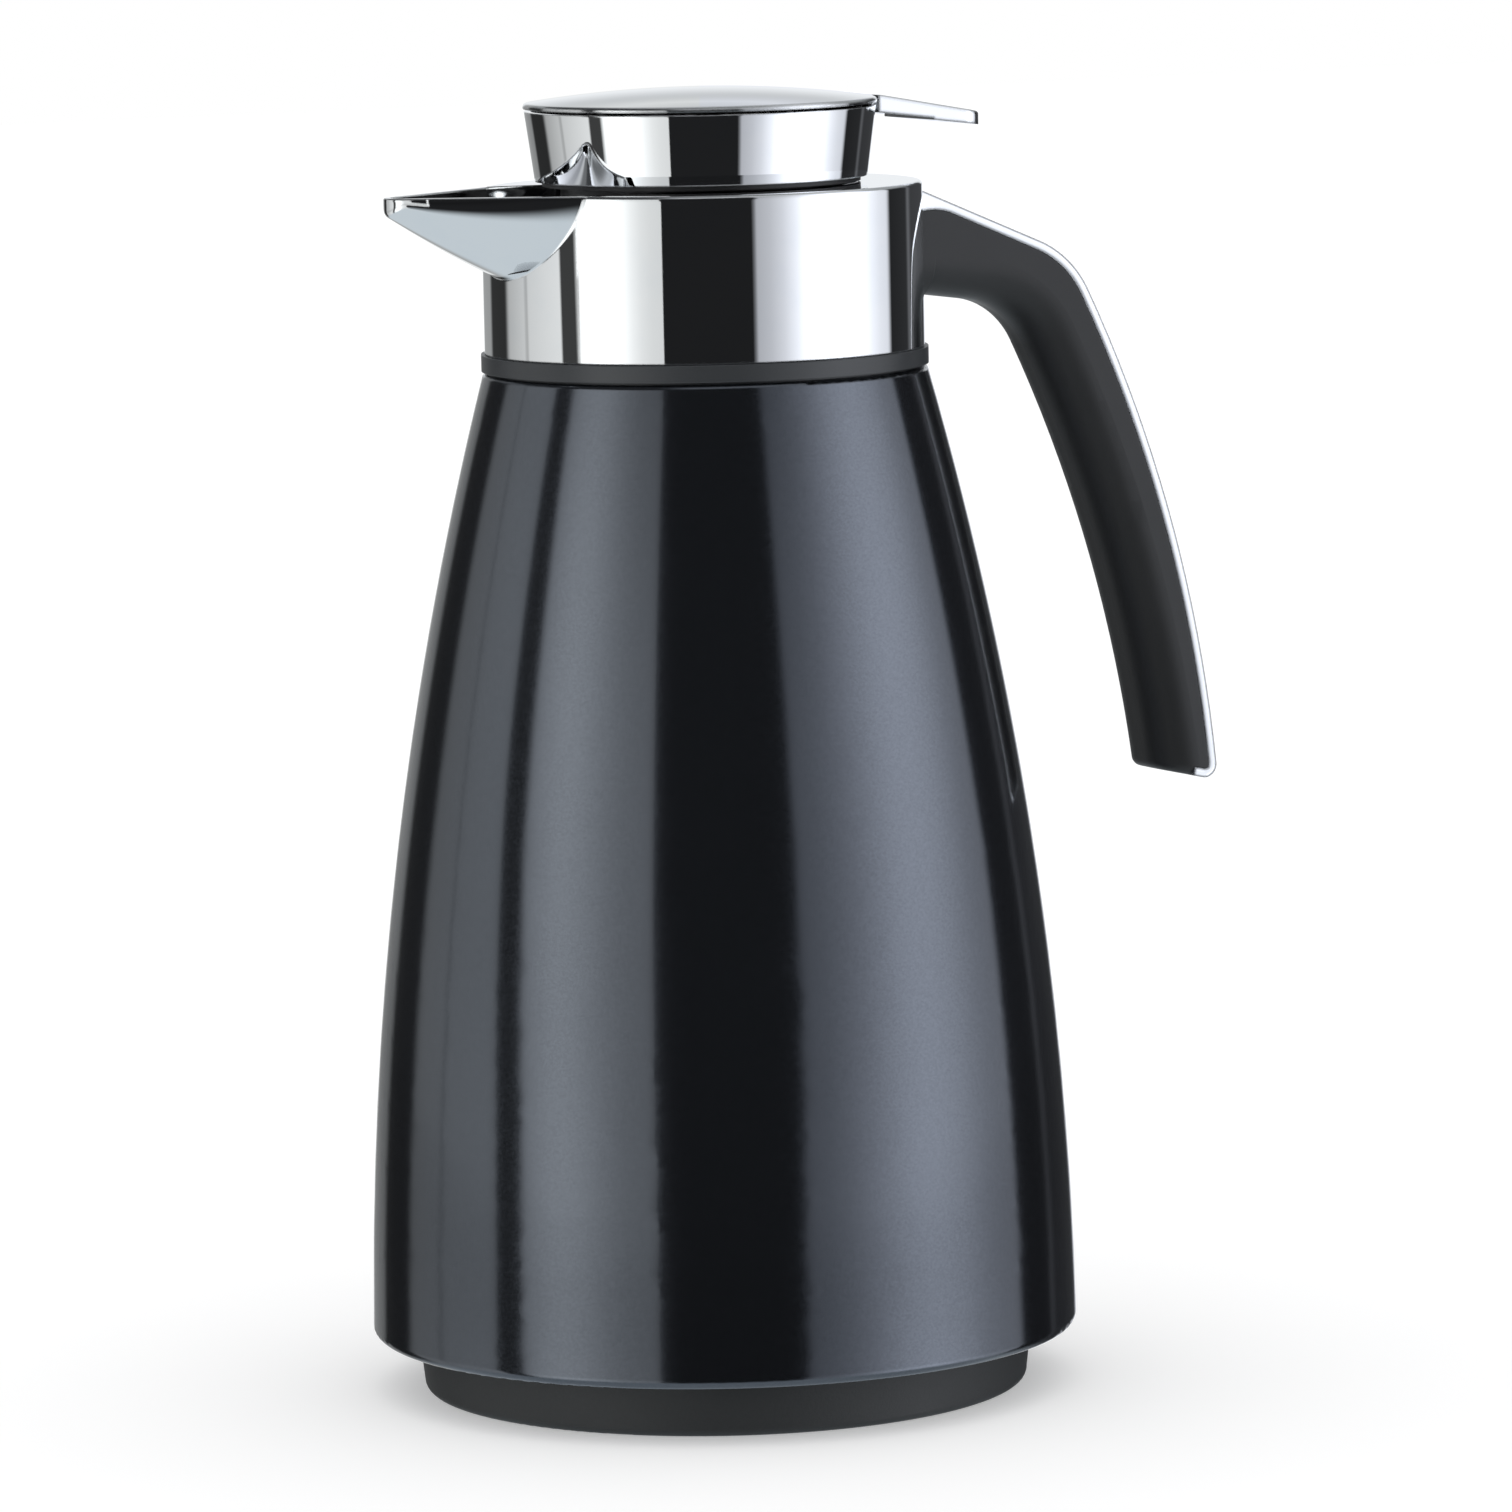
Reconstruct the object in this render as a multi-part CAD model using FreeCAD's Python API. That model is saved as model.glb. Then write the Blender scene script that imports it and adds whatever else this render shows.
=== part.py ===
import FreeCAD, Part
import math
import os

# Vacuum serving jug in millimetres: Z up, jug axis on Z, foot on Z = 0, handle to +X, spout to -X.
V = FreeCAD.Vector
UP = V(0, 0, 1)

# Clearances
running = 0.05          # a pin or stem in its hole
seated = 0.05           # fixed pieces with curved faces that meet
loose = 0.3             # pieces that move past each other
past = 1.0              # how far a cut runs past the piece it cuts

# Base cap and the ring that it locks into
foot_inset = 11.55
base_flare = 1.4
base_height = 12.2
base_wall = 2.5
base_floor = 3.0
base_edge = 2.0
groove_in_r = 18.0
groove_rim = 13.6
groove_depth = 1.0
spigot_inset = 19.05
spigot_wall = 2.9
lug_depth = 3.4
lug_height = 3.0
lug_count = 3
lug_angle = 40.0
lug_slot_angle = 46.0
base_ring_height = 8.0
base_ring_margin = 2.2

# Outer shell, an arc of revolution
shell_gap = 0.3
shell_height = 215.9
shell_bottom_r = 79.15
shell_mid_taper = 7.85
shell_top_step = 0.45
shell_wall = 0.8
shell_bottom_bend = 2.2
shell_top_bend = 1.2

# Double-walled bottle
cushion_height = 15.0
cushion_inset = 12.0
cushion_hole_r = 8.0
bottle_room = 9.3
bottle_wall = 1.6
bottle_gap = 5.0
bottle_floor_gap = 6.0
bottle_floor_round = 22.0
bottle_shoulder_round = 40.0
bottle_neck_round = 8.0
bottle_neck_inset = 2.0
bottle_neck_gap = 2.4
bottle_neck_length = 18.0
bottle_shoulder_height = 58.0
bottle_lip = 2.0
nipple_r = 4.0
nipple_length = 8.0
pad_size = 9.0
pad_height = 92.0
pad_count = 3
gasket_thickness = 3.5

# Joint ring and collar
ring_gap = 0.5
ring_height = 3.75
ring_proud = 0.8
collar_r = 49.0
collar_wall = 2.2
collar_height = 36.75
collar_deck = 2.2
collar_edge = 0.9
clamp_inset = 2.3
clamp_screw_r = 1.5
clamp_head_r = 2.8
clamp_head_height = 2.2
clamp_screw_length = 20.0
clamp_boss_r = 3.2
clamp_angles = (60.0, 120.0, -60.0, -120.0)

# Spout
spout_half_angle = 33.0
spout_depth = 22.7
spout_length = 27.7
spout_tip_half = 3.5
spout_tip_depth = 3.9
spout_wall = 2.0
spout_lip_share = 0.85
spout_lip_edge = 1.0
spout_inlet = 10.0

# Neck insert with its multi-start thread
well_inset = 17.0
insert_wall = 2.4
insert_flange = 2.35
insert_sink = 0.6
seat_drop = 3.15
mouth_inset = 7.0
thread_lead = 26.0
thread_starts = 3
thread_sweep = 100.0
thread_width = 2.4
thread_flat = 1.2
thread_root_sink = 0.4
thread_gap = 2.0
crest_gap = 0.4
thread_overlap = 1.0

# Stopper
stopper_flange_inset = 1.6
stopper_flange = 2.1
stopper_cap = 3.7
stopper_neck_inset = 6.0
stopper_neck_height = 17.0
stopper_neck_wall = 3.0
stopper_floor = 3.0
stopper_ceiling = 3.0
stopper_pocket_inset = 13.0
stopper_pocket_depth = 4.8
seal_height = 3.8
seal_spigot = 4.5
port_count = 6
port_width = 9.0
port_height = 11.0

# Lid ring and cover
lid_gap = 1.4
lid_inset = 12.0
lid_flare = 2.35
lid_height = 17.2
lid_wall = 1.5
lid_ledge = 1.5
lid_ledge_width = 2.6
cover_rise = 2.9
cover_rim = 1.1
cover_round = 0.9
cover_gap = 0.6
cover_skin = 1.3

# Thumb lever
lever_length = 26.15
lever_width = 24.0
lever_root_depth = 3.9
lever_tip_depth = 2.5
lever_lip = 0.4
lever_lip_length = 13.2
lever_slope = 10.4
lever_corner = 5.0
lever_inset = 2.85
lever_play = 0.5
lever_drop = 1.2

# Hinge and carrier
pivot_inset = 5.15
pivot_drop = 6.5
pin_r = 1.0
post_half = 4.1
post_r = 2.0
ear_r = 1.8
ear_width = 2.0
carrier_inset = 3.15
carrier_thickness = 1.8
carrier_drop = 1.8
fork_half = 4.5
fork_width = 2.2
fork_margin = 2.7
cover_screw_r = 1.1
cover_screw_head_r = 2.2
cover_screw_head = 1.4
cover_boss_r = 3.0
cover_screw_inset = 14.2
cover_screw_length = 3.4
cover_screw_end = 0.3
cover_screw_angles = (60.0, 180.0, 300.0)

# Valve
stem_r = 3.0
stem_head = 3.2
cross_pin_r = 1.25
cross_pin_drop = 6.1
valve_hole_inset = 9.0
valve_seat = 3.0
valve_seal = 2.0
valve_plug = 2.8
seal_squeeze_gap = 0.2
nut_r = 5.8
nut_height = 2.4
spring_r = 6.0
spring_wire_r = 0.6
spring_turns = 7

# Handle
handle_drop = 2.93
handle_slope = 22.93
handle_run = 32.89
handle_bend_r = 23.8
handle_bend = 40.7
handle_sweep_r = 318.6
handle_sweep = 20.7
handle_corner_r = 3.0
handle_end_slope = 13.0
handle_root_height = 23.48
handle_under_slope = 7.86
handle_under_run = 15.34
handle_under_bend_r = 19.75
handle_under_bend = 56.05
handle_under_sweep_r = 324.4
handle_under_sweep = 18.3
handle_under_corner_r = 2.5
handle_width = 22.0
handle_round = 9.4
handle_lip = 0.7
handle_lip_length = 3.6
handle_sunk = 3.0
strip_skin = 1.2
strip_flange = 2.0
strip_flange_wall = 1.1
strip_hook = 5.2
strip_hook_length = 9.0
strip_hook_toe = 1.0
strip_hook_swell = 0.7
strip_end = 2.5
handle_screw_r = 1.9
handle_screw_head_r = 3.4
handle_screw_head = 2.6
handle_screw_length = 15.0
handle_screw_drops = (13.0, 22.0)

# Heights and radii that follow from the sizes above
foot_r = shell_bottom_r - foot_inset
groove_out_r = foot_r - groove_rim
spigot_r = shell_bottom_r - spigot_inset
shell_mid_r = shell_bottom_r - shell_mid_taper
shell_top_r = collar_r + shell_top_step
bottle_r = shell_mid_r - bottle_room
cushion_r = bottle_r - bottle_floor_round - cushion_inset
well_r = collar_r - well_inset
mouth_r = well_r - mouth_inset
bottle_neck_r = well_r - bottle_neck_inset
spout_reach = collar_r + spout_length
spout_inlet_x = well_r - spout_inlet
lid_bottom_r = collar_r - lid_inset
lid_rim_r = lid_bottom_r + lid_flare
lever_reach = lid_rim_r + lever_length
stopper_flange_r = lid_bottom_r - stopper_flange_inset
stopper_neck_r = well_r - stopper_neck_inset
stopper_bore_r = stopper_neck_r - stopper_neck_wall
stopper_pocket_r = well_r - stopper_pocket_inset
valve_hole_r = stopper_bore_r - valve_hole_inset
carrier_r = lid_rim_r - carrier_inset
cover_screw_circle_r = carrier_r - cover_screw_inset
base_top_r = foot_r + base_flare
lug_r = spigot_r + lug_depth
shell_z0 = base_height + shell_gap
shell_z1 = shell_z0 + shell_height
base_ring_z0 = shell_z0 + shell_wall
base_ring_z1 = base_ring_z0 + base_ring_height
ring_z0 = shell_z1 + ring_gap
collar_z0 = ring_z0 + ring_height
collar_z1 = collar_z0 + collar_height
collar_in_r = collar_r - collar_wall
clamp_r = collar_in_r - clamp_inset
insert_r = well_r + insert_wall
seat_z0 = collar_z0 - seat_drop
bottle_z0 = base_floor + cushion_height
bottle_z1 = seat_z0 - gasket_thickness
bottle_neck_z = bottle_z1 - bottle_neck_length
bottle_shoulder_z = bottle_neck_z - bottle_shoulder_height
inner_bottle_r = bottle_r - bottle_wall - bottle_gap
inner_neck_r = bottle_neck_r - bottle_wall - bottle_neck_gap
core_r = well_r - thread_gap
outer_crest_r = well_r - crest_gap
inner_crest_r = outer_crest_r - thread_overlap
flange_z0 = collar_z1 + loose
flange_z1 = flange_z0 + stopper_flange
stopper_neck_z1 = flange_z0 - stopper_cap
stopper_neck_z0 = stopper_neck_z1 - stopper_neck_height
stopper_z0 = collar_z0 + loose
seal_z0 = collar_z0 + loose
stopper_shoulder_z = seal_z0 + seal_height + loose
thread_z0 = stopper_shoulder_z + thread_width / 2 + loose
lid_z0 = collar_z1 + lid_gap
rim_z = lid_z0 + lid_height
ring_top_z = rim_z - cover_rim - cover_gap
pivot_x = lid_rim_r - pivot_inset
pivot_z = rim_z - pivot_drop
carrier_z1 = rim_z - carrier_drop
carrier_z0 = carrier_z1 - carrier_thickness
seat_top_z = stopper_z0 + valve_seat
plug_z0 = seat_top_z + seal_squeeze_gap + valve_seal
plug_z1 = plug_z0 + valve_plug
pocket_z = flange_z1 - stopper_pocket_depth
ceiling_z0 = pocket_z - stopper_ceiling
cross_pin_z = carrier_z0 - cross_pin_drop
dome_r = (lid_rim_r ** 2 + cover_rise ** 2) / (2 * cover_rise)
dome_centre_z = rim_z + cover_rise - dome_r


def cylinder(r, z0, z1, x=0.0, y=0.0):
    return Part.makeCylinder(r, z1 - z0, V(x, y, z0), UP)


def ring(r_in, r_out, z0, z1):
    return cylinder(r_out, z0, z1).cut(cylinder(r_in, z0, z1))


def rod(r, start, end):
    """Solid round bar between two points."""
    return Part.makeCylinder(r, (end - start).Length, start, end - start)


def slab(x0, x1, y0, y1, z0, z1):
    return Part.makeBox(x1 - x0, y1 - y0, z1 - z0, V(x0, y0, z0))


def spun(shape, angle):
    """Copy turned about the jug axis."""
    copy = shape.copy()
    copy.rotate(V(0, 0, 0), UP, angle)
    return copy


def sector(r_in, r_out, z0, z1, middle, angle):
    """Piece of a ring, centred on one direction."""
    piece = Part.makeCylinder(r_out, z1 - z0, V(0, 0, z0), UP, angle)
    return spun(piece.cut(cylinder(r_in, z0, z1)), middle - angle / 2)


def rounded_wire(points):
    """Closed wire in the XZ plane through (x, z, corner radius) points."""
    corners = []
    for i, (x, z, radius) in enumerate(points):
        corner = V(x, 0, z)
        before = V(points[i - 1][0], 0, points[i - 1][1]) - corner
        after = V(points[(i + 1) % len(points)][0], 0, points[(i + 1) % len(points)][1]) - corner
        before.normalize()
        after.normalize()
        if radius:
            half = before.getAngle(after) / 2
            reach = radius / math.tan(half)
            inward = (before + after).normalize()
            middle = corner + inward * (radius / math.sin(half) - radius)
            corners.append((corner + before * reach, middle, corner + after * reach))
        else:
            corners.append((corner, None, corner))
    edges = []
    for i, (start, middle, end) in enumerate(corners):
        if middle:
            edges.append(Part.Arc(start, middle, end).toShape())
        following = corners[(i + 1) % len(corners)][0]
        if (following - end).Length > 1e-6:
            edges.append(Part.LineSegment(end, following).toShape())
    return Part.Wire(edges)


def turned(points):
    """Solid of revolution about Z from (r, z) or (r, z, corner radius) points."""
    full = [(p[0], p[1], p[2] if len(p) > 2 else 0.0) for p in points]
    return Part.Face(rounded_wire(full)).revolve(V(0, 0, 0), UP, 360)


def run(start, heading, moves, inset=0.0):
    """Edges in the XZ plane: (length,) is a straight, (radius, degrees) a bend, to the right if positive.

    inset moves the whole run to its right. Returns the edges, the end point and the heading there.
    """
    angle = math.radians(heading)
    right = V(math.sin(angle), 0, -math.cos(angle))
    point = start + right * inset
    edges = []
    for move in moves:
        forward = V(math.cos(angle), 0, math.sin(angle))
        right = V(math.sin(angle), 0, -math.cos(angle))
        if len(move) == 1:
            end = point + forward * move[0]
            edges.append(Part.LineSegment(point, end).toShape())
        else:
            side = math.copysign(1.0, move[1])
            radius = move[0] - side * inset
            centre = point + right * (side * radius)
            turn = math.radians(move[1])
            spoke = point - centre
            middle = centre + FreeCAD.Rotation(V(0, 1, 0), math.degrees(turn / 2)).multVec(spoke)
            end = centre + FreeCAD.Rotation(V(0, 1, 0), math.degrees(turn)).multVec(spoke)
            edges.append(Part.Arc(point, middle, end).toShape())
            angle -= turn
        point = end
    return edges, point, math.degrees(angle)


def thread_ridge(r_root, r_crest, z_start, angle):
    """One start of the thread: a tapered ridge along a helix, its root sunk in the wall that carries it."""
    helix = Part.makeHelix(thread_lead, thread_lead * thread_sweep / 360, r_root)
    foot = r_root - math.copysign(thread_root_sink, r_crest - r_root)
    wide = thread_width / 2
    flat = thread_flat / 2
    section = [V(foot, 0, -wide), V(r_crest, 0, -flat), V(r_crest, 0, flat), V(foot, 0, wide)]
    profile = Part.makePolygon(section + [section[0]])
    ridge = Part.Wire(helix.Edges).makePipeShell([profile], True, True)
    ridge.translate(V(0, 0, z_start))
    return spun(ridge, angle)


def thread_ridges(r_root, r_crest, z_start, angle):
    step = 360.0 / thread_starts
    return [thread_ridge(r_root, r_crest, z_start, angle + step * i) for i in range(thread_starts)]


def shell_profile(inset):
    """Solid inside the shell's outer surface, moved in by a wall."""
    bottom = V(shell_bottom_r, 0, shell_z0)
    middle = V(shell_mid_r, 0, (shell_z0 + shell_z1) / 2)
    top = V(shell_top_r, 0, shell_z1)
    circle = Part.Arc(bottom, middle, top).toShape().Curve
    centre = circle.Center
    radius = circle.Radius - inset

    z0 = shell_z0 + inset
    z1 = shell_z1 - inset

    def corner(z, inwards, bend):
        """Three points of the rounded corner where the side meets a level end."""
        level = z + inwards * bend
        heart = V(centre.x + math.sqrt((radius - bend) ** 2 - (level - centre.z) ** 2), 0, level)
        out = (heart - centre).normalize()
        between = (out - UP * inwards).normalize()
        return V(heart.x, 0, z), heart + between * bend, heart + out * bend

    foot = corner(z0, 1, shell_bottom_bend - inset)
    head = corner(z1, -1, shell_top_bend - inset)
    half_z = (foot[2].z + head[2].z) / 2
    half = V(centre.x + math.sqrt(radius ** 2 - (half_z - centre.z) ** 2), 0, half_z)
    edges = [Part.LineSegment(V(0, 0, z0), foot[0]), Part.Arc(*foot), Part.Arc(foot[2], half, head[2]),
             Part.Arc(*reversed(head)), Part.LineSegment(head[0], V(0, 0, z1)),
             Part.LineSegment(V(0, 0, z1), V(0, 0, z0))]
    face = Part.Face(Part.Wire([edge.toShape() for edge in edges]))
    return face.revolve(V(0, 0, 0), UP, 360)


def outer_shell():
    shell = shell_profile(0.0).cut(shell_profile(shell_wall))
    shell = shell.cut(cylinder(lug_r + loose, shell_z0, shell_z0 + shell_wall))
    shell = shell.cut(cylinder(clamp_r - clamp_head_r, shell_z1 - shell_wall, shell_z1))
    return shell.cut(clamp_holes())


def base_ring():
    outer = shell_bottom_r - shell_wall - base_ring_margin
    body = ring(spigot_r + loose, outer, base_ring_z0, base_ring_z1)
    for i in range(lug_count):
        middle = 360.0 / lug_count * (i + 0.5)
        body = body.cut(sector(spigot_r, lug_r + loose, base_ring_z0, base_ring_z1, middle, lug_slot_angle))
    return body


def base_cap():
    lug_z0 = base_ring_z1 + seated
    lug_z1 = lug_z0 + lug_height
    spigot_in = spigot_r - spigot_wall
    cap = turned([(0, 0), (foot_r, 0, base_edge), (base_top_r, base_height, base_edge / 3),
                  (base_top_r - base_wall, base_height), (foot_r - base_wall, base_floor),
                  (spigot_r, base_floor), (spigot_r, lug_z1), (spigot_in, lug_z1),
                  (spigot_in, base_floor), (0, base_floor)])
    cap = cap.cut(ring(groove_in_r, groove_out_r, 0, groove_depth))
    lugs = [sector(spigot_in, lug_r, lug_z0, lug_z1, 360.0 / lug_count * i, lug_angle)
            for i in range(lug_count)]
    return cap.fuse(lugs).removeSplitter()


def liner_cushion():
    return ring(cushion_hole_r, cushion_r, base_floor, bottle_z0)


def bottle(radius, floor_z, neck_r, inset, top_z):
    """Solid bottle shape, moved in by a wall thickness."""
    lean = math.atan2(radius - neck_r, bottle_shoulder_height)
    shift = inset * math.tan(lean / 2)
    return turned([(0, floor_z + inset), (radius - inset, floor_z + inset, bottle_floor_round - inset),
                   (radius - inset, bottle_shoulder_z - shift, bottle_shoulder_round - inset),
                   (neck_r - inset, bottle_neck_z - shift, bottle_neck_round + inset),
                   (neck_r - inset, top_z), (0, top_z)])


def liner_outer_bottle():
    top = bottle_z1 - bottle_lip
    glass = bottle(bottle_r, bottle_z0, bottle_neck_r, 0.0, top)
    nipple = turned([(0, bottle_z0 - nipple_length), (nipple_r, bottle_z0 - nipple_length, nipple_r * 0.6),
                     (nipple_r, bottle_z0 + bottle_wall), (0, bottle_z0 + bottle_wall)])
    return glass.cut(bottle(bottle_r, bottle_z0, bottle_neck_r, bottle_wall, top)).fuse(nipple)


def liner_inner_bottle():
    floor = bottle_z0 + bottle_wall + bottle_floor_gap
    room = bottle(inner_bottle_r, floor, inner_neck_r, bottle_wall, bottle_z1)
    lip = cylinder(bottle_neck_r, bottle_z1 - bottle_lip, bottle_z1)
    print("bottle holds %.2f litres" % (room.Volume / 1e6))
    return bottle(inner_bottle_r, floor, inner_neck_r, 0.0, bottle_z1).fuse(lip).cut(room)


def liner_pads():
    band = ring(inner_bottle_r + seated, bottle_r - bottle_wall - seated, pad_height, pad_height + pad_size)
    half = pad_size / 2
    stub = slab(0, bottle_r, -half, half, pad_height, pad_height + pad_size)
    pads = [band.common(spun(stub, 360.0 / pad_count * i)) for i in range(pad_count)]
    return Part.makeCompound(pads)


def neck_gasket():
    return ring(inner_neck_r - bottle_wall, bottle_neck_r, bottle_z1, seat_z0)


def clamp_holes():
    """Clearance holes for the screws that hold shell, ring, insert and collar together."""
    r = clamp_screw_r + seated
    top = shell_z1 - shell_wall + clamp_screw_length + past
    hole = cylinder(r, shell_z1 - shell_wall - past, top, clamp_r)
    return Part.makeCompound([spun(hole, angle) for angle in clamp_angles])


def collar_screws():
    z = shell_z1 - shell_wall
    screw = cylinder(clamp_screw_r, z, z + clamp_screw_length, clamp_r)
    head = cylinder(clamp_head_r, z - clamp_head_height, z, clamp_r)
    screw = screw.fuse(head).removeSplitter()
    return Part.makeCompound([spun(screw, angle) for angle in clamp_angles])


def joint_ring():
    inner = clamp_r - clamp_head_r
    body = ring(inner, collar_r + ring_proud, ring_z0, collar_z0)
    step = ring(inner, shell_top_r - shell_top_bend, shell_z1, ring_z0)
    return body.fuse(step).removeSplitter().cut(clamp_holes())


def spout_section(x, half, depth, headroom):
    """Closed wire across the spout: an arc below, open to a flat top."""
    top = collar_z1 + headroom
    left = V(x, -half, collar_z1)
    keel = V(x, 0, collar_z1 - depth)
    right = V(x, half, collar_z1)
    edges = [Part.Arc(left, keel, right).toShape()]
    rim = [right, V(x, half, top), V(x, -half, top), left] if headroom else [right, left]
    edges += [Part.LineSegment(a, b).toShape() for a, b in zip(rim, rim[1:])]
    return Part.Wire(edges)


def spout_body(wall, headroom):
    """Spout as a solid from the collar to its rounded tip, moved in by a wall thickness."""
    angle = math.radians(spout_half_angle)
    root_x = collar_r * math.cos(angle)
    root_half = collar_r * math.sin(angle)
    lean = math.atan2(root_half - spout_tip_half, spout_reach - root_x)
    spare = spout_tip_half / math.tan(lean)
    tip_r = spare * math.sin(lean) / (1 - math.sin(lean))
    inset = wall / math.cos(lean)
    root = spout_section(-root_x, root_half - inset, spout_depth - wall, headroom)
    tip = spout_section(-spout_reach, spout_tip_half - inset, spout_tip_depth - wall, headroom)
    flare = Part.makeLoft([root, tip], True, True)
    trough = Part.Face(root).extrude(V(root_x - spout_inlet_x, 0, 0))
    tip_x = tip_r - spout_reach
    low = collar_z1 - spout_depth
    plan = slab(tip_x, 0, -root_half, root_half, low, collar_z1 + headroom)
    nose_r = tip_r - wall * spout_lip_share
    plan = plan.fuse(cylinder(nose_r, low, collar_z1 + headroom, tip_x))
    return flare.common(plan).fuse(trough), nose_r


def spout_hollow():
    return spout_body(spout_wall, past)[0]


def spout_outside():
    body, tip_r = spout_body(0.0, 0.0)
    nose = [f for f in body.Faces if f.Surface.TypeId == "Part::GeomCylinder"
            and abs(f.Surface.Radius - tip_r) < 1e-3]
    low = [min(f.Edges, key=lambda edge: edge.CenterOfMass.z) for f in nose]
    return body.makeFillet(spout_lip_edge, low)


def collar():
    outside = turned([(0, collar_z0), (collar_r, collar_z0), (collar_r, collar_z1, collar_edge),
                      (0, collar_z1)])
    shell = outside.cut(cylinder(collar_in_r, collar_z0, collar_z1 - collar_deck))
    bosses = [spun(cylinder(clamp_boss_r, collar_z0 + insert_flange, collar_z1 - collar_deck / 2, clamp_r), a)
              for a in clamp_angles]
    body = shell.fuse([spout_outside()] + bosses)
    body = body.cut(cylinder(insert_r + seated, collar_z0, collar_z1 + past))
    body = body.cut([spout_hollow(), clamp_holes()] + handle_screw_holes())
    return body.removeSplitter()


def neck_insert():
    top = collar_z1 - insert_sink
    tube = ring(well_r, insert_r, collar_z0, top)
    seat = ring(mouth_r, insert_r, seat_z0, collar_z0)
    flange = ring(insert_r - seated, collar_in_r - loose, collar_z0, collar_z0 + insert_flange)
    ridges = thread_ridges(well_r, inner_crest_r, thread_z0, 0.0)
    body = tube.fuse([seat, flange] + ridges)
    return body.cut([spout_hollow(), clamp_holes()]).removeSplitter()


def stopper_seal():
    return ring(core_r - seal_spigot + loose, core_r + loose / 2, seal_z0, seal_z0 + seal_height)


def stopper_body():
    spigot_r_low = core_r - seal_spigot
    body = turned([(0, stopper_z0), (spigot_r_low, stopper_z0), (spigot_r_low, stopper_shoulder_z),
                   (core_r, stopper_shoulder_z), (core_r, stopper_neck_z0), (stopper_neck_r, stopper_neck_z0),
                   (stopper_neck_r, stopper_neck_z1), (outer_crest_r - loose, stopper_neck_z1),
                   (outer_crest_r - loose, flange_z0), (stopper_flange_r, flange_z0),
                   (stopper_flange_r, flange_z1), (stopper_pocket_r, flange_z1),
                   (stopper_pocket_r, pocket_z), (0, pocket_z)])
    body = body.fuse(thread_ridges(core_r, outer_crest_r, thread_z0, 180.0 / thread_starts))
    bore = cylinder(stopper_bore_r, seat_top_z, ceiling_z0)
    hole = cylinder(valve_hole_r, stopper_z0, seat_top_z)
    guide = cylinder(stem_r + running, ceiling_z0, flange_z1)
    middle = (stopper_neck_z0 + ceiling_z0) / 2
    port = slab(0, stopper_neck_r + past, -port_width / 2, port_width / 2,
                middle - port_height / 2, middle + port_height / 2)
    ports = [spun(port, 360.0 / port_count * i) for i in range(port_count)]
    return body.cut([bore, hole, guide] + ports).removeSplitter()


def lid_slope_r(z):
    """Outside radius of the lid's cone at a height."""
    return lid_bottom_r + (lid_rim_r - lid_bottom_r) * (z - lid_z0) / lid_height


def lid_ring():
    top_r = lid_slope_r(ring_top_z)
    ledge_z1 = flange_z1 + lid_ledge
    ledge_r = stopper_flange_r - lid_ledge_width
    flange_wall_r = stopper_flange_r + seated
    cone = turned([(flange_wall_r, lid_z0), (lid_bottom_r, lid_z0), (top_r, ring_top_z),
                   (top_r - lid_wall, ring_top_z), (lid_slope_r(ledge_z1) - lid_wall, ledge_z1),
                   (ledge_r, ledge_z1), (ledge_r, flange_z1), (flange_wall_r, flange_z1)])
    post = slab(pivot_x - post_r, pivot_x + post_r, -post_half, post_half, flange_z1, pivot_z)
    crown = rod(post_r, V(pivot_x, -post_half, pivot_z), V(pivot_x, post_half, pivot_z))
    sunk = lid_wall / 2
    wall = turned([(0, flange_z1), (lid_slope_r(flange_z1) - sunk, flange_z1),
                   (lid_slope_r(ring_top_z) - sunk, ring_top_z), (0, ring_top_z)])
    hinge = post.fuse(crown).common(wall)
    bore = rod(pin_r + running, V(pivot_x, -post_half, pivot_z), V(pivot_x, post_half, pivot_z))
    notch_half = lever_width / 2 + lever_play
    notch_z = rim_z - lever_root_depth - lever_drop
    notch = slab(pivot_x + post_r, lid_rim_r + past, -notch_half, notch_half, notch_z, rim_z)
    return cone.fuse(hinge).cut([bore, notch]).removeSplitter()


def hinge_pin():
    end = post_half + loose + ear_width
    return rod(pin_r, V(pivot_x, -end, pivot_z), V(pivot_x, end, pivot_z))


def helix_point(turn, z0, pitch):
    angle = 2 * math.pi * turn
    return V(spring_r * math.cos(angle), spring_r * math.sin(angle), z0 + pitch * turn)


def helix_heading(turn, pitch):
    angle = 2 * math.pi * turn
    round_ = 2 * math.pi * spring_r
    return V(-round_ * math.sin(angle), round_ * math.cos(angle), pitch).normalize()


def arc_from(start, heading, end):
    """Arc that leaves start along heading and reaches end."""
    chord = end - start
    along = V(chord).normalize()
    bulge = heading - along * heading.dot(along)
    lean = math.atan2(bulge.Length, heading.dot(along))
    middle = (start + end) * 0.5 + bulge.normalize() * (chord.Length / 2 * math.tan(lean / 2))
    return Part.Arc(start, middle, end).toShape()


def biarc(start, heading0, end, heading1):
    """Two arcs that meet smoothly, with given headings at both ends."""
    across = end - start
    both = heading0 + heading1
    bend = 2 * (1 - heading0.dot(heading1))
    dot = across.dot(both)
    reach = (-dot + math.sqrt(dot ** 2 + bend * across.dot(across))) / bend
    joint = (start + end + (heading0 - heading1) * reach) * 0.5
    second = arc_from(end, heading1 * -1, joint)
    return [arc_from(start, heading0, joint), second]


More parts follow.
